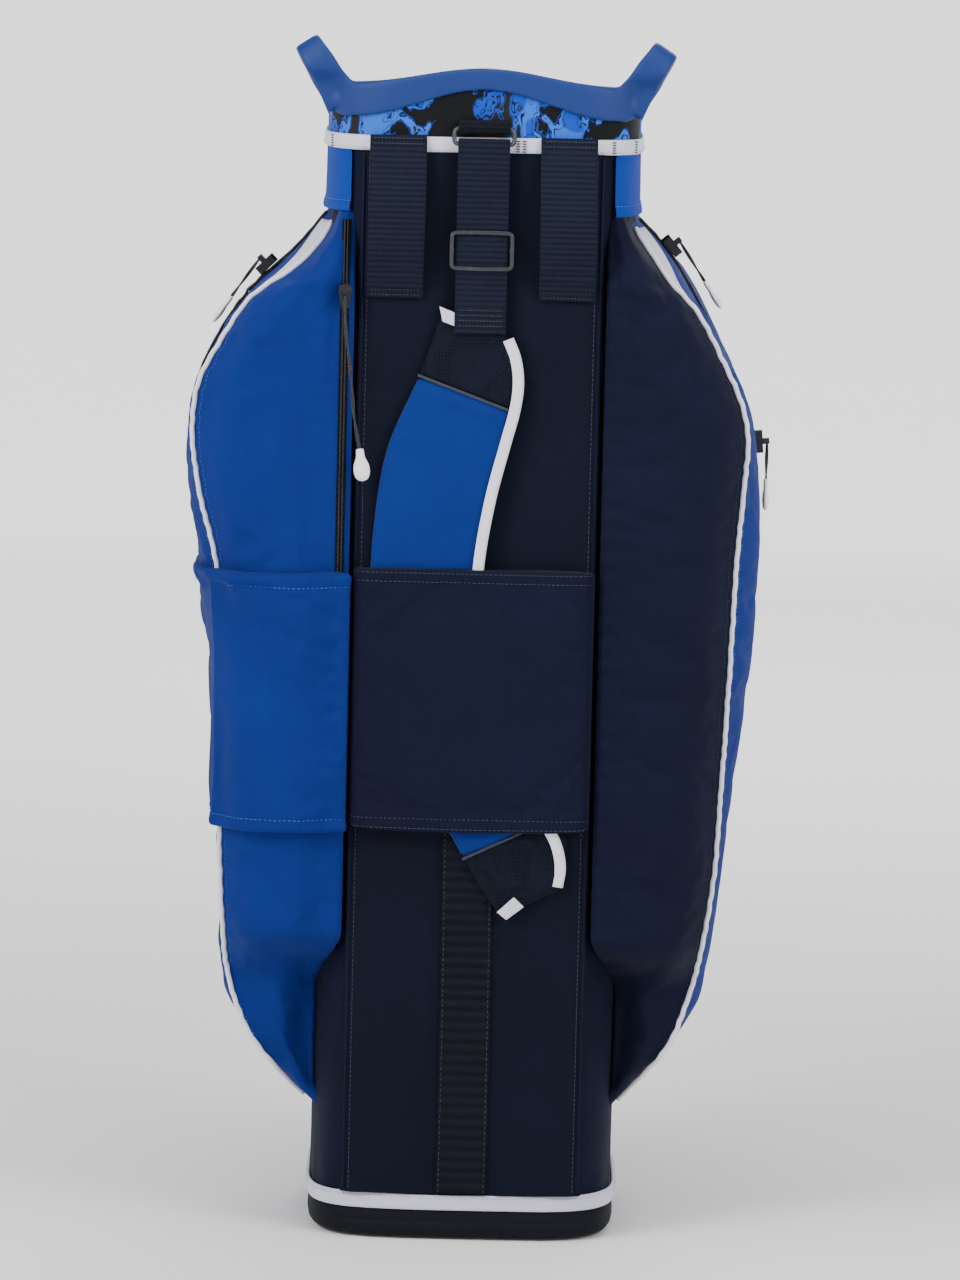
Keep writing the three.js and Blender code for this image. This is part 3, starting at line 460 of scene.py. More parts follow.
looks("blue_fabric", fabric, ("blue", "blue_fabric", (10, 38, 112), {}),
      ("cuff_blue", "cuff_blue_fabric", (13, 54, 146), {}),
      ("blue_pad", "blue_pad_fabric", (9, 40, 114), dict(pitch=0.0011, sheen=0.12, wrinkle=0.0006)))
looks("navy_fabric", fabric, ("navy", "navy_fabric", (12, 16, 39), dict(mottle=0.16)),
      ("navy_panel", "navy_panel_fabric", (9, 13, 31), dict(mottle=0.16)),
      ("sleeve", "sleeve_fabric", (12, 16, 39), dict(wrinkle=0.0014)))
looks("white_binding", fabric,
      ("white_cloth", "white_fabric", (214, 212, 222), dict(sheen=0.1, mottle=0.04, wrinkle=0.0008)))
looks("lining_fabric", fabric, ("lining", "lining_fabric", (46, 50, 58),
                                dict(pitch=0.0016, depth=0.0005, rough=0.9, sheen=0.35, mottle=0.2)))
looks("white_binding", binding, ("binding", "white_binding", (206, 205, 222), {}),
      ("piping", "white_piping", (228, 227, 238), dict(pitch=0.0016)))
looks("webbing", webbing, ("web", "webbing", (18, 22, 38), dict(pitch=0.0042)),
      ("web_dark", "webbing_dark", (11, 13, 22), {}),
      ("spine_web", "spine_webbing_cloth", (14, 17, 27), dict(pitch=0.0085, depth=0.0012)),
      ("tape", "zip_tape", (9, 10, 15), dict(pitch=0.0012, depth=0.0003)))
looks("strap_mesh", mesh_cloth, ("mesh", "strap_mesh", (15, 19, 32), {}))
looks("black_metal", metal, ("metal", "black_metal", (58, 60, 64), dict(rough=0.34)),
      ("ring_metal", "ring_metal", (70, 73, 78), dict(rough=0.26)),
      ("slider", "slider_metal", (42, 43, 46), dict(rough=0.36)))
looks("pull_cord", cord_cloth, ("cord", "pull_cord", (22, 23, 26), {}))
for key, slot, tint, settings in (
        ("collar", "collar_plastic", (15, 42, 104), dict(rough=0.5, wear=1.2, spec=0.25)),
        ("base", "base_plastic", (14, 16, 23), dict(rough=0.66, spec=0.12, grain=0.00025, scale=520, wear=1.5)),
        ("rubber", "grip_rubber", (24, 25, 27), dict(rough=0.85, grain=0.0003, scale=400, spec=0.3)),
        ("liner", "liner_plastic", (22, 24, 28), dict(rough=0.6, scale=300)),
        ("tip", "white_plastic", (232, 232, 228), dict(rough=0.42, grain=0.00006, spec=0.5))):
    looks(slot, plastic, (key, slot, tint, settings))
looks("black_metal", plastic, ("teeth", "zip_teeth", (12, 13, 18), dict(rough=0.4, scale=600, spec=0.3)))
for tint, slot, colour in (("navy", "navy_fabric", (30, 38, 60)), ("blue", "blue_fabric", (36, 92, 180)),
                           ("white", "white_binding", (206, 204, 214)), ("black", "pull_cord", (20, 21, 24))):
    looks(slot, cord_cloth, (f"thread_{tint}", f"thread_{tint}", colour, dict(pitch=0.0012)))
LOOKS["print"] = "printed_fabric", print_fabric("printed_fabric")


def soften(obj, width, angle):
    """Round the edges sharper than an angle."""
    mod = obj.modifiers.new("edge", "BEVEL")
    mod.width, mod.segments, mod.limit_method = width * MM, 2, "ANGLE"
    mod.angle_limit = math.radians(angle)


def thicken(obj, thickness, offset):
    mod = obj.modifiers.new("thick", "SOLIDIFY")
    mod.thickness, mod.offset = thickness * MM, offset


def dress(obj, material, node=None, body="bag", smooth=False, second=None, second_faces=()):
    """Finish a piece: its material, body and the CAD node it stands for."""
    obj.data.materials.append(LOOKS[material][1])
    if second:
        obj.data.materials.append(LOOKS[second][1])
        for i in second_faces:
            obj.data.polygons[int(i)].material_index = 1
    if smooth:
        mod = obj.modifiers.new("smooth", "SUBSURF")
        mod.levels = mod.render_levels = 1
    if node:
        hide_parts(node)
    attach(obj, body)
    return obj


def piece(name, parts, *finish, **more):
    return dress(join_parts(name, parts), *finish, **more)


def ribbon(name, path, section, side, *finish, **more):
    return piece(name, [swept(path, section, side)], *finish, **more)


def sew(name, thread, path, out, pitch=3.8, length=2.6, radius=0.3):
    """A row of stitches as a piece of its own."""
    return piece(name, stitch_parts(path, out, pitch, length, radius), thread)


def paint(node, material):
    """A material on a CAD solid that is shown as it is."""
    NODES[node].data.materials.clear()
    NODES[node].data.materials.append(LOOKS[material][1])


def puff(rows, pinned, pressure, cap, slack, wrap=False):
    """Cloth pressure fills a sewn shell held at its pinned points. Returns the grid where it comes to rest.

    pinned is 1 where a seam or zip holds the cloth, down to 0 where it is free. slack is how much longer
    than the pattern the cloth is, which gathers it at the seams. No point moves further than cap."""
    scene, frames = bpy.context.scene, 20
    obj = surface("pattern", rows, wrap=wrap)
    group = obj.vertex_groups.new(name="held")
    for i, weight in enumerate(np.asarray(pinned, float).reshape(-1)):
        group.add([i], float(weight), "REPLACE")
    cloth = obj.modifiers.new("cloth", "CLOTH")
    rules = cloth.settings
    rules.quality, rules.mass = 6, 0.3
    rules.tension_stiffness, rules.compression_stiffness = 30, 30
    rules.shear_stiffness, rules.bending_stiffness = 8, 0.6
    rules.use_pressure, rules.uniform_pressure_force = True, pressure
    rules.shrink_min = rules.shrink_max = -slack
    rules.vertex_group_mass = group.name
    rules.effector_weights.gravity = 0
    rules.air_damping = 2
    cloth.collision_settings.use_collision = False
    cloth.point_cache.frame_start, cloth.point_cache.frame_end = 1, frames
    for step in range(1, frames + 1):
        scene.frame_set(step)
    settled = obj.evaluated_get(bpy.context.evaluated_depsgraph_get()).data
    found = np.empty(len(obj.data.vertices) * 3)
    settled.vertices.foreach_get("co", found)
    bpy.data.meshes.remove(obj.data)
    scene.frame_set(1)
    shift = found.reshape(rows.shape) / MM - rows
    size = np.linalg.norm(shift, axis=-1, keepdims=True)
    return rows + shift * (cap * np.tanh(size / cap) / np.maximum(size, 1e-6))


# ------------------------------------------------------------------ camera, light and floor, in metres

CAMERA_PLACE, CAMERA_LENS = (0.0056, -5.4, 1.134), 193.2
CAMERA_PITCH, CAMERA_ROLL = math.radians(7.12), math.radians(1.35)

camera_data = bpy.data.cameras.new("camera")
camera_data.lens, camera_data.sensor_width, camera_data.sensor_fit = CAMERA_LENS, 36, "AUTO"
camera_data.clip_start, camera_data.clip_end = 0.1, 60
camera = in_scene("camera", camera_data)
ahead = Vector((0, math.cos(CAMERA_PITCH), -math.sin(CAMERA_PITCH)))
level_right = Vector((1, 0, 0))
cam_right = level_right * math.cos(CAMERA_ROLL) + level_right.cross(ahead) * math.sin(CAMERA_ROLL)
axes = Matrix((cam_right, cam_right.cross(ahead), -ahead)).transposed().to_4x4()
camera.matrix_world = Matrix.Translation(CAMERA_PLACE) @ axes
bpy.context.scene.camera = camera

FAR = 80000
floor = add_mesh("floor", [[-FAR, -FAR, 0], [FAR, -FAR, 0], [FAR, FAR, 0], [-FAR, FAR, 0]], [(0, 1, 2, 3)])
look = Nodes("floor_look")
# painted light: the floor glows, from none within 0.9 m of the bag to full strength 5 m out, so the sweep brightens
# away from the bag as a lit studio floor does
spot = look.split(look.place)
reach = look.math("SQRT", look.add(look.times(spot[0], spot[0]), look.times(spot[1], spot[1])))
floor_tone = look.mix(look.span(look.noise(1.5), 0.3, 0.7), (0.86, 0.86, 0.87), (0.9, 0.9, 0.905))
floor.data.materials.append(look.finish(
    Base_Color=floor_tone, Roughness=0.85, Emission_Color=(1, 1, 1),
    Emission_Strength=look.span(reach, 0.9, 5.0, 0.0, 1.45)))

# a soft sky, as bright at the horizon as the far floor and dimmer overhead
world = bpy.data.worlds.new("studio")
bpy.context.scene.world = world
world.use_nodes = True
sky = world.node_tree
place, height, fade = (sky.nodes.new(f"ShaderNode{kind}") for kind in ("TexCoord", "SeparateXYZ", "MapRange"))
put(sky, height.inputs[0], place.outputs["Generated"])
for i, value in enumerate((height.outputs["Z"], 0.1, 0.3, 2.0, 0.3)):
    put(sky, fade.inputs[i], value)
put(sky, sky.nodes["Background"].inputs["Color"], (1, 1, 1))
put(sky, sky.nodes["Background"].inputs["Strength"], fade.outputs["Result"])

for name, place, target, size, power in (
        ("key", (-1.9, -1.9, 2.1), (0, 0, 0.95), (1.3, 1.1), 68),
        ("fill", (2.1, -1.9, 1.95), (0, 0, 0.9), (1.3, 1.1), 48),
        ("top", (0, -0.6, 2.8), (0, 0, 0.9), (2.2, 1.5), 44),
        ("back", (0.6, 3.0, 2.2), (0, 0, 0.6), (2.6, 2.0), 60)):
    data = bpy.data.lights.new(name, "AREA")
    data.shape, data.energy = "RECTANGLE", power
    data.size, data.size_y = size
    light = in_scene(name, data)
    light.location = place
    light.rotation_euler = (Vector(target) - Vector(place)).to_track_quat("-Z", "Y").to_euler()

# ------------------------------------------------------------------ the bag's outline and rim

SQUARE = 4.5  # the power of the rounded square
SKIN, CUFF, COLLAR = 120.0, 122.0, 125.5  # half widths
RIM_REAR, RIM_FRONT, RIM_CROWN = 905.0, 880.0, 11.0
COLLAR_INNER = 108.2
TRIM_BOTTOM, TRIM_TOP = 851.3, 863.3


def around(angle):
    c, s = np.cos(angle), np.sin(angle)
    r = (np.abs(c) ** SQUARE + np.abs(s) ** SQUARE) ** (-1 / SQUARE)
    return np.stack([r * c, r * s], -1)


def out_of(outline):
    """The way out of a rounded square at points of its outline."""
    return unit(np.sign(outline) * np.abs(outline) ** (SQUARE - 1))


def face_at(half, x):
    return half * (1 - abs(x / half) ** SQUARE) ** (1 / SQUARE)


RING_COUNT = 240
RING = resample(around(np.linspace(0, 2 * math.pi, 4001)), closed=True, count=RING_COUNT + 1)  # size 1
RING_OUT = out_of(RING)
RING_S = distances(RING * SKIN)


def rim_plane(y):
    return lerp(RIM_REAR, RIM_FRONT, (y + COLLAR) / (2 * COLLAR))


def rear_arch(x, y):
    return np.clip((-y - 90) / 30, 0, 1) * np.cos(math.pi * np.clip(x / 200, -0.5, 0.5)) ** 2


def rim_top(x, y):
    return rim_plane(y) + RIM_CROWN * rear_arch(x, y)


def skirt_bottom(x, y):
    return np.maximum(rim_plane(y) - 27 + 21 * rear_arch(x, y) + 13 * ramp((y + 108) / 34), TRIM_TOP + 1)


def band(profile):
    """Rows of points round the bag: profile is a list of (half, z), where either may be an array."""
    return np.array([raised(RING * np.reshape(half, (-1, 1)), z) for half, z in profile])


def sew_round(name, thread, line, pitch, length, radius):
    out = raised(RING_OUT, 0)
    sew(name, thread, np.concatenate([line, line[:1]]), np.concatenate([out, out[:1]]), pitch, length, radius)


# ------------------------------------------------------------------ base

base = surface("moulded_base", band([
    (60, 4.3), (105.3, 4.3), (105.3, 2.2), (110, 2.0), (115, 2.1), (118.2, 3.4), (120.2, 6.4), (121.0, 11),
    (121.0, 14), (120.6, 14.6), (120.6, 15.6), (120.9, 16.2), (120.3, 23.4), (119.6, 24.0), (116.7, 24.2),
    (116.5, 25), (116.5, 36), (113.4, 36), (113.4, 9.4), (112.6, 9), (60, 9)]), wrap=True, caps=True)
dress(base, "base", "base_cup")
paint("base_grip_pad", "rubber")
paint("body_liner", "liner")

pucker = 0.35 * np.sin(RING_S / 6.1) + 0.3 * np.sin(RING_S / 3.7 + 1.3) + 0.35 * np.sin(RING_S / 29)
sway = 0.5 * np.sin(RING_S / 37) + 0.3 * np.sin(RING_S / 15 + 1)
trim = surface("base_binding", band([
    (half + fold * pucker, z + drift * sway) for half, fold, z, drift in (
        (120.2, 0, 24.6, 0), (121.2, 0, 24.2, 0.2), (122.2, 0.2, 24.9, 0.3), (122.7, 0.5, 27.5, 0.4),
        (122.5, 0.7, 30.5, 0.5), (122.7, 0.5, 33.5, 0.6), (122.3, 0.2, 36.2, 0.7), (121.3, 0, 37.0, 0.7),
        (120.2, 0, 36.5, 0.7))]), wrap=True)
dress(trim, "binding", "base_trim", smooth=True)
sew_round("base_binding_stitches", "thread_white", band([(122.95, 34.6 + 0.5 * sway)])[0], 4.4, 2.9, 0.32)

# ------------------------------------------------------------------ body cloth and back panel

rows = []
for z in np.linspace(24.4, 850.8, 130):
    p = raised(RING * SKIN, z)
    wave = fractal(p, 46, 3, 2.0, 0.45)
    pull = 0.6 * bump(z, 40, 14) * np.sin(RING_S / 4.6) + 0.5 * bump(z, 795, 20) * np.sin(RING_S / 6)
    p[:, :2] += RING_OUT * np.minimum(-0.9 + 0.9 * wave + pull, 0.15)[:, None]
    rows.append(p)
dress(surface("body_cloth", rows, wrap=True), "navy", "body_skin")

PANEL_HALF = 94.0
PANEL_PLAIN = (318, 540)  # between these heights the strap sleeve covers the panel


def back_panel_y(x, z):
    """Front face of the padded back panel."""
    inset = ramp((PANEL_HALF - np.abs(x)) / 9)
    crown = 0.9 * ramp((PANEL_HALF - np.abs(x)) / 40) * ramp((np.abs(x) - 20) / 12)
    return -120.5 - 2.0 * inset - crown


xs = np.concatenate([[-PANEL_HALF - 0.1], np.linspace(-PANEL_HALF, PANEL_HALF, 95), [PANEL_HALF + 0.1]])
far = np.abs(xs)
free = ramp((far - 24) / 10) * ramp((PANEL_HALF - far) / 10)
rows = []
for z in np.linspace(37.6, 850.6, 165):
    p = np.stack([xs, back_panel_y(xs, z), np.full_like(xs, z)], 1)
    low = 0.4 if PANEL_PLAIN[0] <= z <= PANEL_PLAIN[1] else 1.0
    seam = 0.7 * bump(far, 24.5, 2.2) * (z < 520)
    edge = 0.35 * bump(far, 84, 4) * np.sin(z / 3.4) + 0.45 * bump(z, 41, 8) * np.sin(xs / 3.1)
    p[:, 1] += -0.55 * fractal(p, 34, 3, 5.0, 0.7) * free * low + seam + edge * low
    # the panel follows the body's rounded corner at its outer edges
    p[:, 1] += np.maximum(far - 82, 0) * 0.16
    p[0, 1] = p[-1, 1] = -face_at(SKIN, PANEL_HALF) + 3
    rows.append(p)
dress(surface("back_panel", rows), "navy_panel", "spine_panel")


def panel_line(x, depth):
    z = np.linspace(40, 848, 300)
    x = np.full_like(z, x)
    return np.stack([x, back_panel_y(x, z) + depth, z], 1)


# webbing strip sewn up the back panel, gathered across its lower half
z = np.arange(38.5, 514, 1.0)
gather = ramp((z - 150) / 40) * ramp((318 - z) / 30)
ripple = 0.55 * gather * np.sin(2 * math.pi * z / 8.5) + 0.12 * np.sin(z / 23)
strip = np.stack([0.7 * np.sin(z / 90), -123.9 - ripple, z], 1)
ribbon("spine_strip", strip, flat_section(40, 2.0), REAR, "spine_web", "spine_webbing")
for label, side in LEFT_RIGHT:
    ribbon(f"back_panel_seam_{label}", panel_line(side * 91.5, 1.15), circle(1.15, 8), (0, -1, 0.01), "navy")
    sew(f"back_panel_stitches_{label}", "thread_navy", panel_line(side * 87.6, 0.55), REAR)
    sew(f"spine_strip_stitches_{label}", "thread_black", strip + v3(side * 17.6, -1.05, 0), REAR, 4.2, 2.8, 0.32)

# ------------------------------------------------------------------ cuff

start = -math.atan2(face_at(SKIN, 100), 100)
ARC = resample(around(np.linspace(start, math.pi - start, 2001)), count=190)
ARC_OUT = out_of(ARC)
arc_s = distances(ARC) * SKIN
ripple = 0.35 * np.sin(arc_s / 9) + 0.3 * np.sin(arc_s / 23 + 2)
rows = []
for extra, z in ((0.5, 804.0), (2.6, 802.8), (4.2, 803.2), (4.5, 805), (4.2, 808.5), (3.1, 811.5), (2.7, 813),
                 (2.8, 820), (2.7, 828), (2.6, 836), (2.5, 844), (2.5, 851)):
    proud = extra + (0.9 * ramp((825 - z) / 20) * ripple if extra > 1 else 0)
    rows.append(raised(ARC * SKIN + ARC_OUT * np.reshape(proud, (-1, 1)), z + 0.25 * np.sin(arc_s / 31)))
dress(surface("cuff_side_cloth", rows), "cuff_blue", "cuff_side_band", smooth=True)
sew("cuff_hem_stitches", "thread_blue", raised(ARC * (SKIN + 3.25), 811.6), raised(ARC_OUT, 0), radius=0.32)

top = rim_top(RING[:, 0] * COLLAR, RING[:, 1] * COLLAR) - 7
soft = 0.35 * np.sin(RING_S / 11) + 0.25 * np.sin(RING_S / 5.2)
middle = [(CUFF + 0.1 + 0.5 * soft * math.sin(math.pi * t), lerp(TRIM_BOTTOM, top, t)) for t in np.linspace(0, 1, 9)]
cuff = surface("cuff_print_cloth", band([(CUFF - 2, TRIM_BOTTOM), *middle, (CUFF - 2, top)]), wrap=True)
dress(cuff, "print", "cuff_band")

pucker = 0.3 * np.sin(RING_S / 5.3) + 0.25 * np.sin(RING_S / 2.9 + 1.3)
rows = band([(half + fold * pucker, z) for half, fold, z in (
    (122.2, 0, 851.8), (123.3, 0, 851.2), (124.2, 0, 851.9), (124.7, 0.4, 854), (124.5, 0.5, 857.3),
    (124.7, 0.4, 860.6), (124.1, 0, 862.8), (123.2, 0, 863.4), (122.2, 0, 862.8))])
rows[:, :, 2] += 0.35 * np.sin(RING_S / 33)
dress(surface("cuff_binding", rows, wrap=True), "binding", "cuff_trim", smooth=True)
sew_round("cuff_binding_stitches", "thread_white", band([(125.0, 853.6)])[0], 4.0, 2.8, 0.3)
tacks = []
for x in (-117, -47, 26, 31, 100, 117):
    lean = v3(1, 0, 0) if abs(x) < 110 else unit(v3(1, -0.6 * np.sign(x), 0))
    for k in range(5):
        at = v3(x, -face_at(124.9, x) - 0.1, 853 + 2.0 * k)
        tacks.append(swept([at + lean * t for t in (-1.4, 0, 1.4)], circle(0.5, 6), (0, -1, 0.01)))
piece("cuff_bartacks", tacks, "thread_black")

# ------------------------------------------------------------------ moulded collar and lift handles

x, y = RING[:, 0] * COLLAR, RING[:, 1] * COLLAR
top, low = rim_top(x, y), skirt_bottom(x, y)
collar_rows = band([
    (COLLAR - 2.4, low), (COLLAR - 0.8, low), (COLLAR - 0.2, low + 0.35), (COLLAR, low + 1.1),
    (COLLAR + 0.15, (top + low) / 2), (COLLAR, top - 3.4), (COLLAR - 0.25, top - 2.2), (COLLAR - 0.9, top - 1.0),
    (COLLAR - 1.9, top - 0.25), (COLLAR - 3.2, top), (COLLAR - 9, top + 0.1), (COLLAR_INNER + 3, top),
    (COLLAR_INNER + 1.4, top - 0.4), (COLLAR_INNER + 0.4, top - 1.5), (COLLAR_INNER, top - 3),
    (COLLAR_INNER, 860), (COLLAR_INNER, 848.6), (COLLAR_INNER + 0.5, 848), (COLLAR_INNER + 2.1, 848),
    (COLLAR_INNER + 2.5, 848.6), (COLLAR_INNER + 2.5, top - 5), (COLLAR - 3, top - 5)])
moulding = [(collar_rows.reshape(-1, 3), grid_faces(*collar_rows.shape[:2], wrap=True, wrap_rows=True))]

LEAN = math.radians(33)
SLOPE = math.atan2(RIM_REAR - RIM_FRONT, 2 * COLLAR)
H_REAR, H_FRONT, H_REACH, H_CORNER = -112.0, 62.0, 48.0, 9.0
LEG, GRIP, BLADE = 17.0, 12.0, 23.5


def lift_handle(side):
    lo, hi = -9.0, H_REACH - GRIP / 2
    y0, y1 = H_REAR + LEG / 2, H_FRONT - LEG / 2
    rear = [(y0, lo), (y0, 8), (y0, hi - H_CORNER)]
    rear += [(y0 + H_CORNER * (1 - math.cos(a)), hi - H_CORNER * (1 - math.sin(a))) for a in (0.4, 0.8, 1.2)]
    grip = [(lerp(y0 + H_CORNER, y1 - H_CORNER, t), hi + 1.2 * math.sin(math.pi * t)) for t in (0, 0.25, 0.5, 0.75, 1)]
    front = [(y0 + y1 - y, z) for y, z in reversed(rear)]
    flat = curve_through(rear + grip + front, 2.5)
    up = v3(side * math.sin(LEAN), 0, math.cos(LEAN))
    over = v3(side * math.cos(LEAN), 0, -math.sin(LEAN))
    height = flat[:, 1]
    path = flat[:, :1] * v3(0, 1, 0) + flat[:, 1:] * up
    thin = lerp(GRIP / 2, LEG / 2, ramp((hi - 2 - height) / 14)) + 3.0 * ramp((6 - height) / 12)
    wide = BLADE / 2 - 1.3 * ramp((height - 24) / 18) + 2.8 * ramp((16 - height) / 22)
    verts, faces = swept(path, soft_square(32, 0.26)[None] * np.stack([thin, wide], 1)[:, None], over)
    rel = verts - v3(0, H_REAR, 0)
    c, s = math.cos(-SLOPE), math.sin(-SLOPE)
    verts = np.stack([rel[:, 0], rel[:, 1] * c - rel[:, 2] * s + H_REAR, rel[:, 1] * s + rel[:, 2] * c], 1)
    verts += v3(side * 113, 0, 895)
    # below the rim the legs stay outside the collar's opening
    deep = verts[:, 2] < rim_plane(verts[:, 1]) - 1
    verts[deep, 0] = side * np.maximum(np.abs(verts[deep, 0]), COLLAR_INNER + 0.6)
    # near the rim the legs run into the collar's own outer face
    settle = ramp((rim_plane(verts[:, 1]) + 12 - verts[:, 2]) / 16)
    proud = np.abs(verts[:, 1]) - face_at(COLLAR + 0.2, np.minimum(np.abs(verts[:, 0]), 113))
    verts[:, 1] -= np.sign(verts[:, 1]) * np.maximum(proud, 0) * settle
    return verts, faces


# the ring and both handles are one moulding, with soft fillets where they meet
collar = join_parts("collar_moulding", moulding + [lift_handle(-1), lift_handle(1)])
fuse = collar.modifiers.new("fuse", "REMESH")
fuse.mode, fuse.voxel_size, fuse.use_smooth_shade = "VOXEL", 0.0014, True
fillet = collar.modifiers.new("fillet", "SMOOTH")
fillet.factor, fillet.iterations = 0.5, 10
dress(collar, "collar", "top_collar")

# ------------------------------------------------------------------ padded dividers

INNER, BEAD = 107.8, 5.0
DIVIDER_DROP = 12  # how far the dividers' beads lie under the rim
divider_threads = []


def divider(name, node, ends, seed):
    """A wall of cloth with a padded bead along its top, between two (x, y) points."""
    a, b = (v3(x, y, rim_plane(y) - DIVIDER_DROP) for x, y in ends)
    count = max(int(np.linalg.norm(b[:2] - a[:2]) / 3), 8)
    t = np.linspace(0, 1, count)[:, None]
    path = lerp(a, b, t)
    angle = np.linspace(-1.27, math.pi + 1.27, 18)
    head = np.stack([BEAD * np.cos(angle), BEAD * np.sin(angle)], 1)
    sections = []
    for depth in path[:, 2] - 16:
        down = np.array([(1.5, -5 - (depth - 5) * k) for k in (1, 0.4, 0.1, 0.02, 0.004)])
        # section is [across, up]; the head's angles run from the right side over the top to the left
        sections.append(np.concatenate([down, head, down[::-1] * (-1, 1)]))
    sections = np.array(sections)
    sections[:, 6:22, 1] += 0.18 * np.sin(path[:, :1] * 0.9 + path[:, 1:2] * 0.9)
    sections[:, :, 0] += 0.2 * np.sin(t * 9 + seed)
    piece(name, [swept(path, sections, (0, 0, 1), upright=True)], "lining", node)
    side = np.cross(unit(b - a), v3(0, 0, 1))
    for s in (-1, 1):
        divider_threads.extend(stitch_parts(path + side * s * 1.75 - v3(0, 0, 8.2), side * s, 4.6, 3.0, 0.34))


for i, (label, y) in enumerate((("rear", -56.0), ("middle", 0.0), ("front", 56.0))):
    half = face_at(INNER, y) - 1.0
    divider(f"divider_across_{label}", f"cross_divider_{label}", ((-half, y), (half, y)), i)
beside = BEAD + 0.5
wall = face_at(INNER, 36) - 2
for r, (places, y0, y1) in enumerate((
        ((-36, 36), -wall, -56 - beside), ((-54, 0, 54), -56 + beside, -beside),
        ((-54, 0, 54), beside, 56 - beside), ((-36, 36), 56 + beside, wall))):
    for c, x in enumerate(places):
        label = f"row{r + 1}_{c + 1}"
        divider(f"divider_{label}", f"short_divider_{label}", ((x, y0), (x, y1)), r * 3 + c)
piece("divider_stitches", divider_threads, "thread_navy")

# ------------------------------------------------------------------ side pockets

POCKET_BOTTOM, POCKET_TOP = 92.0, 803.0
LEFT_FULL = [(92, -3), (110, 16), (145, 48), (180, 68), (205, 74), (320, 78), (450, 85), (530, 96), (590, 106),
             (640, 105), (680, 94), (733, 62), (770, 24), (803, -3)]
RIGHT_FULL = [(92, -3), (110, 12), (145, 42), (180, 60), (215, 67), (320, 79), (450, 94), (530, 98), (590, 98),
              (640, 93), (680, 78), (733, 50), (770, 27), (803, -3)]
PIPING_INSET = [(92, 3), (180, 7), (300, 4), (380, 9), (450, 14), (540, 15), (590, 11), (640, 5), (690, 3),
                (733, 4), (757, 12), (785, 12), (803, 4)]
STEPS = 6
SEAM_COLUMN = 5 * STEPS  # the piped seam, in columns from the pocket's rear inner edge
POCKETS = {"left": (-1, LEFT_FULL), "right": (1, RIGHT_FULL)}
POCKET_GRID = {}
POCKET_FILL = dict(pressure=2.5, cap=5.0, slack=0.025)
REAR_ZIP_X = 104.5
TUNNEL_LOW, TUNNEL_HIGH = 321, 527  # the panel over the left pocket


def read_table(rows, z):
    """A smooth curve through a table's (z, value) rows, read at z."""
    if z <= rows[0][0]:
        return rows[0][1]
    if z >= rows[-1][0]:
        return rows[-1][1]
    i = max(k for k, r in enumerate(rows) if r[0] <= z)
    (z0, v0), (z1, v1) = rows[i], rows[i + 1]

    def slope(k):
        (za, va), (zb, vb) = rows[max(k - 1, 0)], rows[min(k + 1, len(rows) - 1)]
        return (vb - va) / (zb - za)

    t, step = (z - z0) / (z1 - z0), z1 - z0
    return (v0 * (1 + 2 * t) * (1 - t) ** 2 + slope(i) * step * t * (1 - t) ** 2
            + v1 * t * t * (3 - 2 * t) + slope(i + 1) * step * t * t * (t - 1))


def pocket_points(z, side, table, grow=0.0):
    """A side pocket's outline at height z, from its rear inner edge to its front inner edge."""
    out = read_table(table, z)
    edge = SKIN + out + grow
    seam = edge - read_table(PIPING_INSET, z)
    rear = ramp((z - POCKET_BOTTOM) / 70) * ramp((POCKET_TOP - z) / 55)
    tuck = ramp((245 - z) / 50)
    swell = np.clip(out / 40, 0, 1)
    inner = 97 + 20 * tuck * np.clip(out / 20, 0, 1) - grow
    inner_y = lerp(-(104 + 21.5 * rear), -76, tuck) - grow
    rear_y = lerp(-(106 + 30 * rear), -(76 + 14 * rear), tuck) - grow
    seam_y = -(65 + 43 * swell - 26 * tuck) - grow
    front_y = 96 + 10 * swell + grow
    across = seam - inner
    half = [(inner, inner_y + 3), (inner + 0.04 * across, inner_y), (inner + 0.17 * across, inner_y - 1.5),
            (inner + 0.42 * across, rear_y), (inner + 0.76 * across, rear_y + 4), (seam, seam_y)]
    half += [(edge - back, lerp(seam_y, front_y, t)) for back, t in (
        (1.5, 0.16), (0, 0.35), (1, 0.55), (0.06 * out, 0.73), (0.2 * out, 0.87))]
    half += [(SKIN + 0.45 * out + grow, front_y - 4), (SKIN - 2 + grow, front_y), (inner + 4, front_y - 2)]
    return np.array(half) * (side, 1)


def grid_normals(rows, outward):
    n = unit(np.cross(np.gradient(rows, axis=1), np.gradient(rows, axis=0)))
    return n * np.sign((n * outward).sum(-1, keepdims=True) + 1e-9)


def side_zip_y(z):
    return lerp(4, -24, ramp((z - 625) / 120))


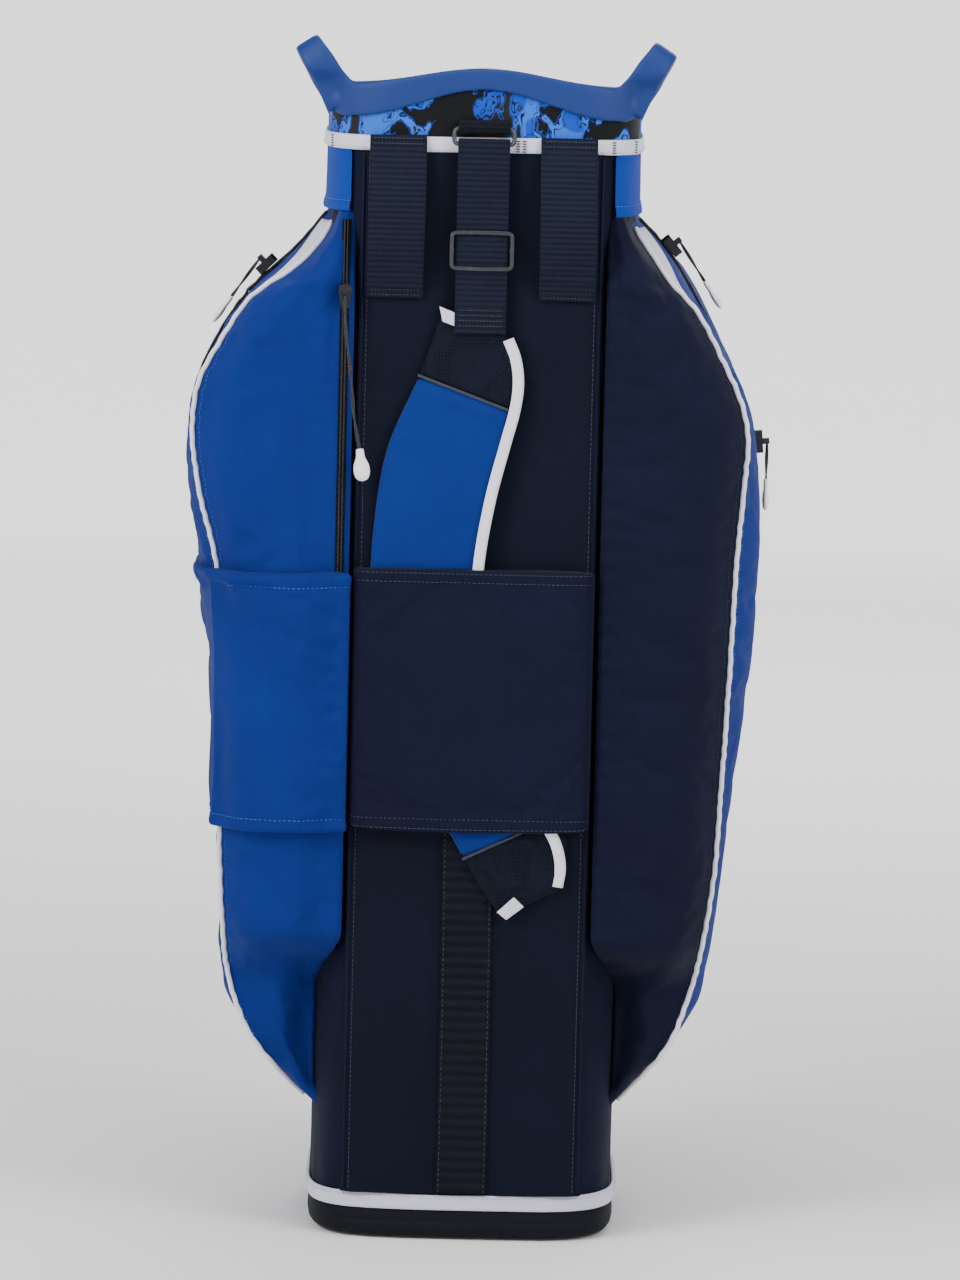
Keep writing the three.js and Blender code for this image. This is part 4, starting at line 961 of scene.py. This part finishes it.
def side_pocket(label, seed):
    side, table = POCKETS[label]
    rows = np.array([raised(spline(pocket_points(z, side, table), STEPS, corners=(5,)), z)
                     for z in np.linspace(POCKET_BOTTOM, POCKET_TOP, 136)])
    centre = rows.mean(axis=1, keepdims=True) * v3(0.9, 0.6, 0.4) + v3(0, 0, 265)
    normal = grid_normals(rows, rows - centre)
    big, fine = fractal(rows, 70, 2, seed, 0.5), fractal(rows, 21, 3, seed + 4, 0.8)
    s = distances(rows)
    to_seam = np.abs(s - s[:, SEAM_COLUMN:SEAM_COLUMN + 1])
    z = rows[:, :, 2]
    column = np.arange(rows.shape[1])[None, :]
    free = ramp((z - 100) / 45) * ramp((790 - z) / 40)
    edges = ramp(s / 16) * ramp((s[:, -1:] - s) / 16)
    lift = (1.9 * big + 0.55 * fine) * free * edges * np.where(column < SEAM_COLUMN, 1.0, 0.8)
    lift += -1.5 * np.exp(-(to_seam / 5.5) ** 2) * free
    lift += 0.55 * np.exp(-(to_seam / 9.0)) * np.sin(z / 2.1 + 2 * np.sin(z / 31)) * free
    lift += 0.5 * np.exp(-(s / 11.0)) * np.sin(z / 2.6 + seed) * free
    # soft creases that fall from the shoulder towards the widest point, and again above the base
    lift += 0.8 * np.sin((z - 0.9 * s) / 17.0 + 1.5 * big) * bump(z, 700, 46) * edges * (0.6 + 0.4 * big)
    lift += 0.9 * np.sin((z + 1.1 * s) / 15.0 + 2.0 * big) * bump(z, 176, 38) * edges
    # held at every seam and along the zips, filled by pressure
    x, y = np.abs(rows[:, :, 0]), rows[:, :, 1]
    side_zip = np.exp(-((y - side_zip_y(z)) / 15) ** 4) * (z > 320) * (column > SEAM_COLUMN)
    rear_zip = np.exp(-((x - REAR_ZIP_X) / 13) ** 4) * (z > 495) * (column < SEAM_COLUMN) * (label == "left")
    rows = rows + normal * (lift * (1 - np.maximum(side_zip, rear_zip)))[:, :, None]
    under_panel = 0.85 * ramp((z - 312) / 12) * ramp((536 - z) / 12) * (label == "left")
    held = 1 - free * edges * ramp((to_seam - 2) / 16)
    gusset = ramp((z - 664) / 20) * ramp((52 - to_seam) / 10) * (column >= SEAM_COLUMN)
    held = np.maximum.reduce([held, gusset, side_zip, rear_zip, under_panel])
    rows = POCKET_GRID[label] = puff(rows, held, **POCKET_FILL)
    obj = surface(f"{label}_pocket_cloth", rows)
    if label == "right":
        beyond = [i for i in range(len(obj.data.polygons)) if i % (rows.shape[1] - 1) >= SEAM_COLUMN]
        dress(obj, "navy", "right_side_pocket", smooth=True, second="blue", second_faces=beyond)
    else:
        dress(obj, "blue", "left_side_pocket", smooth=True)
    seam = rows[2:-2, SEAM_COLUMN] + normal[2:-2, SEAM_COLUMN] * 1.5
    ribbon(f"{label}_pocket_piping", resample(seam, 3), circle(1.95, 10), (0, -1, 0.02), "piping")
    # a row of stitches on each side of the piping
    for offset, name in ((-1, "rear"), (1, "side")):
        line, out = (grid[6:-8, SEAM_COLUMN + offset] for grid in (rows, normal))
        line = line + unit(line - rows[6:-8, SEAM_COLUMN]) * 1.2 + out * 0.25
        sew(f"{label}_pocket_{name}_stitches",
            "thread_navy" if (label, name) == ("right", "rear") else "thread_blue", line, out)


side_pocket("left", 3.0)
side_pocket("right", 8.0)


def pocket_spot(label, z, y=None, x=None):
    """Point and way out on a side pocket's surface at height z, at a given y (its side) or x (its back)."""
    rows, side = POCKET_GRID[label], POCKETS[label][0]
    i = np.clip(np.interp(z, rows[:, 0, 2], np.arange(len(rows))), 0, len(rows) - 1.001)
    k = int(i)
    row = lerp(rows[k], rows[k + 1], i - k)
    if y is not None:
        part = row[SEAM_COLUMN + 3:]
        j = np.interp(y, part[:, 1], np.arange(len(part))) + SEAM_COLUMN + 3
        guess = v3(side, 0, 0.2)
    else:
        part = row[3:SEAM_COLUMN + 1] * side
        j = np.interp(x * side, part[:, 0], np.arange(len(part))) + 3
        guess = v3(0, -1, 0)
    a = int(j)
    at = lerp(row[a], row[min(a + 1, len(row) - 1)], j - a)
    along = row[min(a + 2, len(row) - 1)] - row[max(a - 2, 0)]
    up = rows[min(k + 2, len(rows) - 1)][a] - rows[max(k - 2, 0)][a]
    out = unit(np.cross(along, up))
    return at, out * np.sign(out @ guess)


# white gussets at the top of the slopes, beside the piping
for label, side in LEFT_RIGHT:
    patch = []
    for row in POCKET_GRID[label][88:134]:
        width = 34.0 * ramp((row[0, 2] - 700) / 100) ** 1.3 + 0.6
        q = np.linspace(0.4, width, 7)
        line = points_at(q, distances(row[SEAM_COLUMN:]), row[SEAM_COLUMN:])
        proud = 0.75 * np.minimum(1, np.minimum(q, width - q + 0.4) / 1.5)
        patch.append(line + unit(v3(side, -0.35, 0.55)) * proud[:, None])
    gusset = surface(f"{label}_shoulder_gusset", patch)
    thicken(gusset, 0.8, -1)
    dress(gusset, "white_cloth")

# ------------------------------------------------------------------ zips


def zip_line(name, path, out, width):
    """Tape, two rows of coil teeth and the stitches that hold the tape."""
    out = unit(np.broadcast_to(np.asarray(out, float), path.shape))
    across = unit(np.cross(tangents(path), out))
    ribbon(f"{name}_tape", path + out * 0.5, flat_section(width, 0.9), out, "tape")
    gap, pitch = 0.55, 2.2
    fine = resample(path, gap)
    s, at = np.linspace(0, 1, len(path)), np.linspace(0, 1, len(fine))
    fine_out, fine_across = points_at(at, s, out), points_at(at, s, across)
    phase = np.arange(len(fine)) * gap * 2 * math.pi / pitch
    coils, stitches = [], []
    for k in (-1, 1):
        swell = 0.95 + 0.3 * np.sin(phase + (0 if k < 0 else math.pi))
        coils.append(swept(fine + fine_across * 1.15 * k + fine_out * 1.3,
                           circle(1, 8)[None] * swell[:, None, None], fine_out))
        stitches += stitch_parts(path + across * (width / 2 - 1.6) * k + out, out, 3.8, 2.6, 0.28)
    piece(f"{name}_teeth", coils, "teeth")
    piece(f"{name}_stitches", stitches, "thread_black")


spots = [pocket_spot("left", z, x=-REAR_ZIP_X) for z in np.linspace(505, 797, 100)]
zip_line("rear_left_zip", np.array([at for at, _ in spots]), REAR, 7)
for label, _ in LEFT_RIGHT:
    spots = [pocket_spot(label, z, y=side_zip_y(z)) for z in np.linspace(797, 330, 150)]
    zip_line(f"{label}_side_zip", np.array([at for at, _ in spots]), np.array([out for _, out in spots]), 16)

for node in [n for n in NODES if n.endswith("_slider")]:
    paint(node, "slider")
    soften(NODES[node], 0.6, 30)

# ------------------------------------------------------------------ pull cords and their tips

PULLS = {  # where the ear holds the cord, the way out, the way the cord hangs, its length
    "rear_left": ((-104, -127.4, 740), (0, -1, 0), (0.115, 0, -0.993), 118),
    "left_shoulder": ((-165.6, -24, 752.6), (-0.698, 0, 0.716), (-0.58, 0, -0.8146), 38),
    "right_shoulder": ((145.5, -24, 774.6), (0.768, 0, 0.64), (0.55, 0, -0.8352), 38),
    "right_side": ((217.6, 4, 622), (0.9964, 0, 0.085), (0, 0, -1), 30),
    "ball": ((52, 202.8, 392), (0, 1, 0), (0, 0, -1), 45),
    "accessory": ((46, 178.8, 712), (0, 1, 0), (0, 0, -1), 45),
}
TIP_PROFILE = [(0.0, 0.15), (2.4, 0.2), (3.1, -0.6), (3.2, -3.0), (3.25, -6.0), (4.2, -8.4), (5.6, -11.0),
               (6.3, -14.0), (6.5, -17.0), (6.1, -20.0), (5.0, -22.6), (3.4, -24.2), (1.6, -24.9), (0.0, -25.0)]
for label, (at, out, hang, length) in PULLS.items():
    prefix = f"{label}_pocket" if label in ("ball", "accessory") else label
    out, hang = unit(out), unit(hang)
    pivot = v3(*at) + 11 * out
    sideways = unit(np.cross(hang, out))
    facing = np.cross(sideways, hang)
    t = np.linspace(0, 1, 25)
    bow = np.sin(math.pi * t) * (0.018 * length) + 0.006 * length * np.sin(3 * math.pi * t)
    path = resample(pivot + hang * (t * length)[:, None] + sideways * bow[:, None], count=40)
    path = pivot + (path - pivot) * (length / distances(path)[-1])
    # two strands twisted together
    twist = 2.2 * math.pi * np.linspace(0, 1, len(path))[:, None] * length / 60
    offset = (sideways * np.cos(twist) + facing * np.sin(twist)) * 0.72
    strands = [swept(path + offset * k, circle(0.72, 8), facing) for k in (-1, 1)]
    cord = piece(f"{label}_pull_cord", strands, "cord", f"{prefix}_zip_cord", body=f"{label}_pull")
    rows = []
    for r, d in TIP_PROFILE:
        ring = circle(r, 20) * (1, 0.42 if d < -7 else 0.62)
        rows.append(path[-1] + hang * (0.3 - d) + sideways * ring[:, :1] + facing * ring[:, 1:])
    tip = surface(f"{label}_pull_tip", rows, wrap=True)
    dress(tip, "tip", f"{prefix}_zip_tip", body=f"{label}_pull", smooth=True)

# ------------------------------------------------------------------ tunnel panel and strap sleeve


def tunnel_outline(z, first, grow, last):
    """The panel's outline over the left pocket, closer to it towards the side."""
    points, close, end = (pocket_points(z, -1, LEFT_FULL, g) for g in (grow, grow - 6.0, last))
    points = lerp(points[1:9], close[1:9], ramp((np.arange(8) - 3) / 3)[:, None])
    points[:, 0] = np.minimum(points[:, 0], -96.6)
    return raised(spline(np.concatenate([[first], points, end[9:10]]), 7, corners=(5,)), z)


def ends_hem(z, low, high, low_hem, high_hem):
    return np.maximum(ramp((high_hem - (high - z)) / 1.5), ramp((low_hem - (z - low)) / 1.5))


def double(name, outer, inner, *finish):
    """A panel with two faces, sewn together along both edges."""
    both = np.concatenate([outer, inner[:, ::-1]], 1)
    dress(surface(name, both, wrap=True, caps=True), *finish, smooth=True)


levels = np.linspace(TUNNEL_LOW, TUNNEL_HIGH, 52)
outer = np.array([tunnel_outline(z, (-95.2, -132), 9.6, 1.9) for z in levels])
inner = np.array([tunnel_outline(z, (-96.6, -126), 8.0, 0.3) for z in levels])
normal = grid_normals(outer, (outer - v3(-100, -40, 0)) * (1, 1, 0))
z, s = outer[:, :, 2], distances(outer)
to_end = s[:, -1:] - s
lift = (1.6 * fractal(outer, 60, 2, 11, 0.6) + 0.4 * fractal(outer, 20, 3, 12)) * ramp(s / 20) * ramp(to_end / 30)
hem = 0.8 * ends_hem(z, TUNNEL_LOW, TUNNEL_HIGH, 12, 12) + 0.25 * np.sin(s / 3.0) * bump(z, 515, 5) * ramp(s / 20)
sag = np.sin(math.pi * s / s[:, -1:]) * (1.2 * ramp((340 - z) / 19) - 1.6 * ramp((z - 500) / 27))
outer = outer + normal * (lift + hem)[:, :, None]
inner = inner + normal * lift[:, :, None] * 0.8
tight = 1 - ramp(s / 14) * ramp(to_end / 22) * ramp((z - 323) / 12) * ramp((525 - z) / 12)
puffed = puff(outer, tight, pressure=1.2, cap=3.5, slack=0.03)
inner, outer = inner + (puffed - outer) * 0.8, puffed
outer[:, :, 2] += sag
inner[:, :, 2] += sag
double("tunnel_cloth", outer, inner, "blue", "cart_strap_tunnel")
for label, height in (("top", 515.4), ("bottom", 332.2)):
    i = int(round((height - TUNNEL_LOW) / ((TUNNEL_HIGH - TUNNEL_LOW) / 51)))
    sew(f"tunnel_{label}_stitches", "thread_blue", outer[i, 2:-2] + normal[i, 2:-2] * 0.3, normal[i, 2:-2], radius=0.32)

SLEEVE_LOW, SLEEVE_HIGH = 326, 531
OUTER_HALF = [(-93.5, -115.5), (-93.2, -122), (-91.8, -129.5), (-87, -135.2), (-76, -137.5), (-52, -138.4),
              (-24, -138.8)]
INNER_HALF = [(-91.5, -115.5), (-91.2, -121), (-89.9, -128.5), (-85.5, -133.2), (-75, -135.4), (-52, -136.3),
              (-24, -136.7)]
outer, inner = (np.array([raised(spline(mirrored(half), 6), z) for z in np.linspace(SLEEVE_LOW, SLEEVE_HIGH, 62)])
                for half in (OUTER_HALF, INNER_HALF))
x, z = outer[:, :, 0], outer[:, :, 2]
hem = ends_hem(z, SLEEVE_LOW, SLEEVE_HIGH, 9, 11)
middle = ramp((88 - np.abs(x)) / 14)
wave = fractal(outer, 52, 2, 21)
diagonal = np.sin((x * 0.8 + z) / 21 + 2.2 * wave) * bump(x, 5, 60) * 0.55
pulls = 0.4 * np.sin(z / 2.8) * np.exp(-(93 - np.abs(x)) / 7.0)
outer[:, :, 1] -= (0.9 * wave + diagonal) * middle + 0.75 * hem * (0.3 + 0.7 * middle) + pulls * middle
outer[:, :, 2] -= 1.2 * np.sin(math.pi * (x + 94) / 188) * ramp((338 - z) / 12)
tight = 1 - ramp((92 - np.abs(x)) / 12) * ramp((z - 330) / 14) * ramp((527 - z) / 14)
puffed = puff(outer, tight, pressure=1.2, cap=2.2, slack=0.02)
inner, outer = inner + (puffed - outer) * 0.9, puffed
inner[:, :, 2] = outer[:, :, 2]
double("strap_sleeve_cloth", outer, inner, "sleeve", "strap_sleeve")
for label, height in (("top", 519.5), ("top_edge", 528.5), ("bottom", 336), ("bottom_edge", 328.4)):
    i = int(round((height - SLEEVE_LOW) / ((SLEEVE_HIGH - SLEEVE_LOW) / 61)))
    sew(f"sleeve_{label}_stitches", "thread_navy", outer[i, 12:-12] + v3(0, -0.25, 0), REAR, 3.6, 2.5)

# ------------------------------------------------------------------ webbing loops and the shoulder strap


def bar_tacks(name, spots, half, x=0):
    """Rows of tight stitches across a strap, each at a (height, depth)."""
    lines = [np.array([(x + dx, y, z) for dx in np.linspace(-half, half, 30)]) for z, y in spots]
    piece(name, [part for line in lines for part in stitch_parts(line, REAR, 2.6, 1.9, 0.34)], "thread_black")


LOOP_LINE = [(-126.2, 864), (-130, 850), (-137, 825), (-140, 800), (-138, 775), (-131, 752), (-125.8, 739.5)]
for label, side in LEFT_RIGHT:
    path = curve_up(LOOP_LINE, 1.5, side * 66.0)
    z = path[:, 2]
    path[:, 0] += 0.5 * np.sin(z / 30 + side)
    path[:, 1] += 0.35 * np.sin(2 * math.pi * z / 7.5) * ramp((800 - z) / 40)
    ribbon(f"cart_loop_{label}", path, flat_section(44, 1.9), REAR, "web", f"cart_strap_loop_{label}")
    bar_tacks(f"cart_loop_{label}_stitches", ((861.5, -128.1), (857.5, -129.4), (741.5, -127.8), (745.5, -129.3)),
              19, side * 66)

BAR_Y, BAR_LOW, BAR_HIGH = -129.8, 858.5, 870.0
FLAT_UP = (0, -1, 0.001)
ring = mirrored([(20, BAR_Y, BAR_LOW), (22.2, BAR_Y, BAR_LOW + 0.9), (23, BAR_Y, BAR_LOW + 3),
                 (23, BAR_Y, BAR_HIGH - 3), (22.2, BAR_Y, BAR_HIGH - 0.9), (20, BAR_Y, BAR_HIGH)])
piece("strap_wire_ring", [swept(curve_through(ring, 1.2, closed=True), circle(1.8, 12), REAR, closed=True)],
      "ring_metal", "strap_ring")
hook = [(-124.0, 872.5), (-125.2, 875.6), (-127.6, 876.2), (-131.0, 874.4), (-132.9, 871.2)]
hook += [(BAR_Y + 3.1 * math.cos(a), BAR_HIGH + 3.1 * math.sin(a)) for a in (3.6, 4.2, 4.71, 5.3, 5.9)]
hook += [(-125.6, 868.6), (-124.2, 869.6), (-123.8, 871)]
ribbon("ring_loop", curve_up(hook, 0.9), flat_section(40, 1.3), FLAT_UP, "web_dark", "ring_anchor_loop")

fold = [(-132.8, z) for z in (713, 740, 790, 840, 857)]
fold += [(BAR_Y + 3.0 * math.cos(a), BAR_LOW + 0.4 + 3.0 * math.sin(a)) for a in (2.7, 2.2, 1.57, 0.95, 0.4)]
fold += [(-126.8, z) for z in (857, 830, 790, 747)]
path = curve_up(fold, 0.9)
path[:, 1] += np.where(path[:, 1] < -130, 0.12 * np.sin(2 * math.pi * path[:, 2] / 11), 0)
ribbon("shoulder_webbing", path, flat_section(40, 1.55), FLAT_UP, "web", "strap_webbing")
bar_tacks("shoulder_webbing_stitches", [(z, -133.75) for z in (719, 723, 727, 731)], 17)

BUCKLE_Z = 777
loop = mirrored([(19.5, 0, -13.7), (22.6, 0, -12.4), (23.1, 0, -9), (23.1, 0, 9), (22.6, 0, 12.4), (19.5, 0, 13.7)])
loop = curve_through(loop, 1.2, closed=True) + v3(0, -135.05, BUCKLE_Z)
parts = [swept(loop, soft_square(16, 0.6) * (1.6, 1.15), REAR, closed=True)]
for side in (-1, 1):
    rail = [(side * 23.0, y, BUCKLE_Z) for y in (-135, -133, -131, -129.5)]
    parts.append(swept(rail, circle(1.0, 10) * (1.9, 3.4), (0, 0, 1)))
bar = [(x, -129.8, BUCKLE_Z) for x in (-23.6, -12, 0, 12, 23.6)]
parts.append(swept(bar, soft_square(16, 0.6) * (1.25, 1.45), (0, 0, 1)))
piece("strap_ladder_buckle", parts, "metal", "strap_buckle", body="buckle")


def pillow(name, left, right, material, node, front, count, seed):
    """A crowned pad between two edges seen from behind, each a list of (x, z)."""
    a, b = (resample(spline(edge, 12), count=count) for edge in (left, right))
    back, columns = -126.2, 22
    middle = (back + front) / 2 + 0.6
    s = np.linspace(-1, 1, columns)
    rows = []
    for p, q, end in zip(a, b, np.linspace(-1, 1, count)):
        crown = (1 - np.abs(s) ** 4.5) ** 0.55 * (1 - abs(end) ** 14) ** 0.5
        xz = lerp(p, q, ((s + 1) / 2)[:, None])
        face = np.stack([xz[:, 0], middle - (middle - front) * crown, xz[:, 1]], 1)
        behind = np.stack([xz[::-1, 0], middle + (back - middle) * crown[::-1], xz[::-1, 1]], 1)[1:-1]
        rows.append(np.concatenate([face, behind]))
    rows = np.array(rows)
    if front < -132:
        s = s[1:-1]
        ripple = 0.21 * np.sin(1.1 * np.arange(1, count + 1))[:, None] * np.exp(-(1 - np.abs(s)) * 9)
        wave = fractal(rows[:, 1:columns - 1], 30, 3, seed, 0.7)
        rows[:, 1:columns - 1, 1] -= 0.7 * wave * (1 - s ** 6) + ripple
    held = np.zeros(rows.shape[:2])
    held[:3] = held[-3:] = held[:, :2] = held[:, columns - 2:] = 1
    rows = puff(rows, held, pressure=6.0, cap=2.2, slack=0.02, wrap=True)
    obj = dress(surface(name, rows, wrap=True, caps=True), material, node, smooth=True)


PAD_TOP, PAD_FOOT = ((-47, 680), (30, 652)), ((-4, 304), (62, 336))
pillow("shoulder_pad",
       [PAD_TOP[0], (-71, 622), (-80, 560), (-81, 505), (-72, 440), (-48, 378), (-14, 321), PAD_FOOT[0]],
       [PAD_TOP[1], (25, 632), (14, 585), (6, 532), (6, 490), (20, 430), (44, 376), PAD_FOOT[1]],
       "blue_pad", "strap_pad", -134.0, 90, 1)
pillow("strap_end_upper", [(-29, 734), (-38, 706), PAD_TOP[0]], [(21, 712), (30, 692), (32.5, 674), PAD_TOP[1]],
       "mesh", "strap_cap_upper", -130.7, 28, 2)
pillow("strap_end_lower", [PAD_FOOT[0], (10, 281), (26, 259)], [PAD_FOOT[1], (76, 325), (77.5, 305), (74, 282)],
       "mesh", "strap_cap_lower", -131.7, 28, 3)

EDGE_LINE = [(22, -131, 709), (28, -131, 694), (30.5, -131.5, 676), (28.5, -133, 656), (22, -133.9, 630),
             (11, -134, 585), (3, -134, 532), (3, -134, 490), (16, -134, 430), (39.5, -133.9, 376),
             (57, -133, 338), (68, -131.8, 318), (72, -131.4, 300), (70, -131.2, 284)]
path = curve_through(EDGE_LINE, 1.5)
ribbon("strap_edge_binding", path, flat_section(9.0, 2.6, 1.2), REAR, "piping")
sideways = unit(np.cross(tangents(path), REAR))
sew("strap_edge_stitches", "thread_white", path + v3(0, -1.35, 0) - sideways * 3.0, REAR, 3.6, 2.5)
for label, (a, b) in (("upper", PAD_TOP), ("lower", PAD_FOOT)):
    path = curve_through([(x, -131.0, z) for x, z in (a, b)], 2)
    ribbon(f"strap_seam_{label}", path, circle(1.1, 8), REAR, "thread_navy")

# small white tabs sewn to the strap's ends
for label, corners, depth in (("upper", [(-31.5, 733.5), (-17.5, 728), (-14.5, 716.5), (-29, 722)], -131.3),
                              ("lower", [(23.5, 263.5), (36.5, 275.5), (44.5, 268), (31, 257.5)], -132.2)):
    c = np.array(corners, float)
    u = np.linspace(0, 1, 9)[:, None]
    rows = []
    for v in np.linspace(0, 1, 7):
        xz = lerp(lerp(c[0], c[3], v), lerp(c[1], c[2], v), u)
        rows.append(np.c_[xz[:, 0], depth - 0.25 * np.sin(math.pi * u), xz[:, 1]])
    tab = surface(f"strap_tab_{label}", rows)
    thicken(tab, 1.2, -1)
    soften(tab, 0.3, 35)
    dress(tab, "binding")

# ------------------------------------------------------------------ front pockets


def front_pocket(label, bottom, top, half, depth, face_colour, zip_z, seed):
    rise = [(bottom, -0.06), (bottom + 9, 0.5), (bottom + 28, 0.85), (bottom + 65, 1), (top - 60, 1),
            (top - 26, 0.85), (top - 8, 0.5), (top, -0.06)]
    levels = np.concatenate([np.linspace(bottom, bottom + 30, 12), np.linspace(bottom + 36, top - 36, 60),
                             np.linspace(top - 30, top, 12)])
    rows = []
    for z in levels:
        share = read_table(rise, z)
        y = SKIN + depth * share
        w = half - 10 * (1 - share)
        side = [(w / 3, y + 1.0 * share), (w - 20, y), (w - 7, max(y - 5, 107)), (w - 1.2, max(y - 16, 106)),
                (w, max(y - 34, 105)), (w, 104)]
        rows.append(raised(spline(mirrored([(-a, b) for a, b in reversed(side)]), 6), z))
    rows = np.array(rows)
    count = rows.shape[1]
    normal = grid_normals(rows, rows - v3(0, 110, (bottom + top) / 2))
    z = rows[:, :, 2]
    wave, fine = fractal(rows, 48, 3, seed, 0.8), fractal(rows, 17, 2, seed + 1)
    free = ramp((z - bottom) / 30) * ramp((top - z) / 30)
    seam = np.abs(np.abs(np.arange(count) - (count - 1) / 2) - 15.5)[None]
    lift = (1.7 * wave + 0.4 * fine) * free - 1.2 * np.exp(-(seam / 1.3) ** 2) * free
    lift += 0.5 * np.exp(-seam / 3.0) * np.sin(z / 2.3) * free
    flat_zip = np.exp(-((z - zip_z) / 16) ** 4)
    rows = rows + normal * (lift * (1 - flat_zip))[:, :, None]
    column = np.minimum(np.arange(count), count - 1 - np.arange(count))[None, :]
    held = np.maximum(1 - free * ramp((column - 1) / 5) * ramp((seam - 0.5) / 3), flat_zip * (column > 15))
    rows = puff(rows, held, **POCKET_FILL)
    obj = surface(f"{label}_pocket_cloth", rows)
    inside = [i for i in range(len(obj.data.polygons)) if 18 <= i % (count - 1) < count - 19]
    dress(obj, "navy", f"{label}_pocket", smooth=True, second=face_colour, second_faces=inside)
    edge = rows + normal * 1.2
    loop = np.concatenate([edge[5:-5, 18], edge[-6, 20:-20], edge[5:-5, -19][::-1], edge[5, 20:-20][::-1]])
    loop = resample(np.concatenate([loop, loop[:1]]), 3.0, closed=True)
    for _ in range(3):
        loop = (np.roll(loop, 1, 0) + loop * 2 + np.roll(loop, -1, 0)) / 4
    piece(f"{label}_pocket_piping", [swept(loop, circle(1.9, 10), (0, 1, 0.01), closed=True)], "piping")
    k = int(np.argmin(np.abs(levels - zip_z)))
    row = rows[k].copy()
    if levels[k] > zip_z:
        row = lerp(rows[k - 1], rows[k], (zip_z - levels[k - 1]) / (levels[k] - levels[k - 1]))
    row[:, 2] = zip_z
    zip_line(f"{label}_pocket_zip", resample(row[20:-20], 2.0) + v3(0, 0.4, 0), (0, 1, 0), 17)
    # a storm flap over the zip's upper edge
    line = resample(row[18:-18], 2.0)
    flap = surface(f"{label}_pocket_flap", [line + v3(0, out, up) for up, out in (
        (13, 0.2), (12, 1.2), (9.5, 1.7), (8.0, 1.5), (7.4, 0.9))])
    thicken(flap, 1.2, 0)
    dress(flap, face_colour)
    sew(f"{label}_pocket_flap_stitches", "thread_white" if face_colour == "blue" else "thread_navy",
        line + v3(0, 1.7 + 0.75, 9.5 + 0.6), (0, 1, 0))


front_pocket("ball", 108, 462, 86, 82, "blue", 392, 31.0)
front_pocket("accessory", 474, 782, 80, 58, "navy_panel", 712, 37.0)
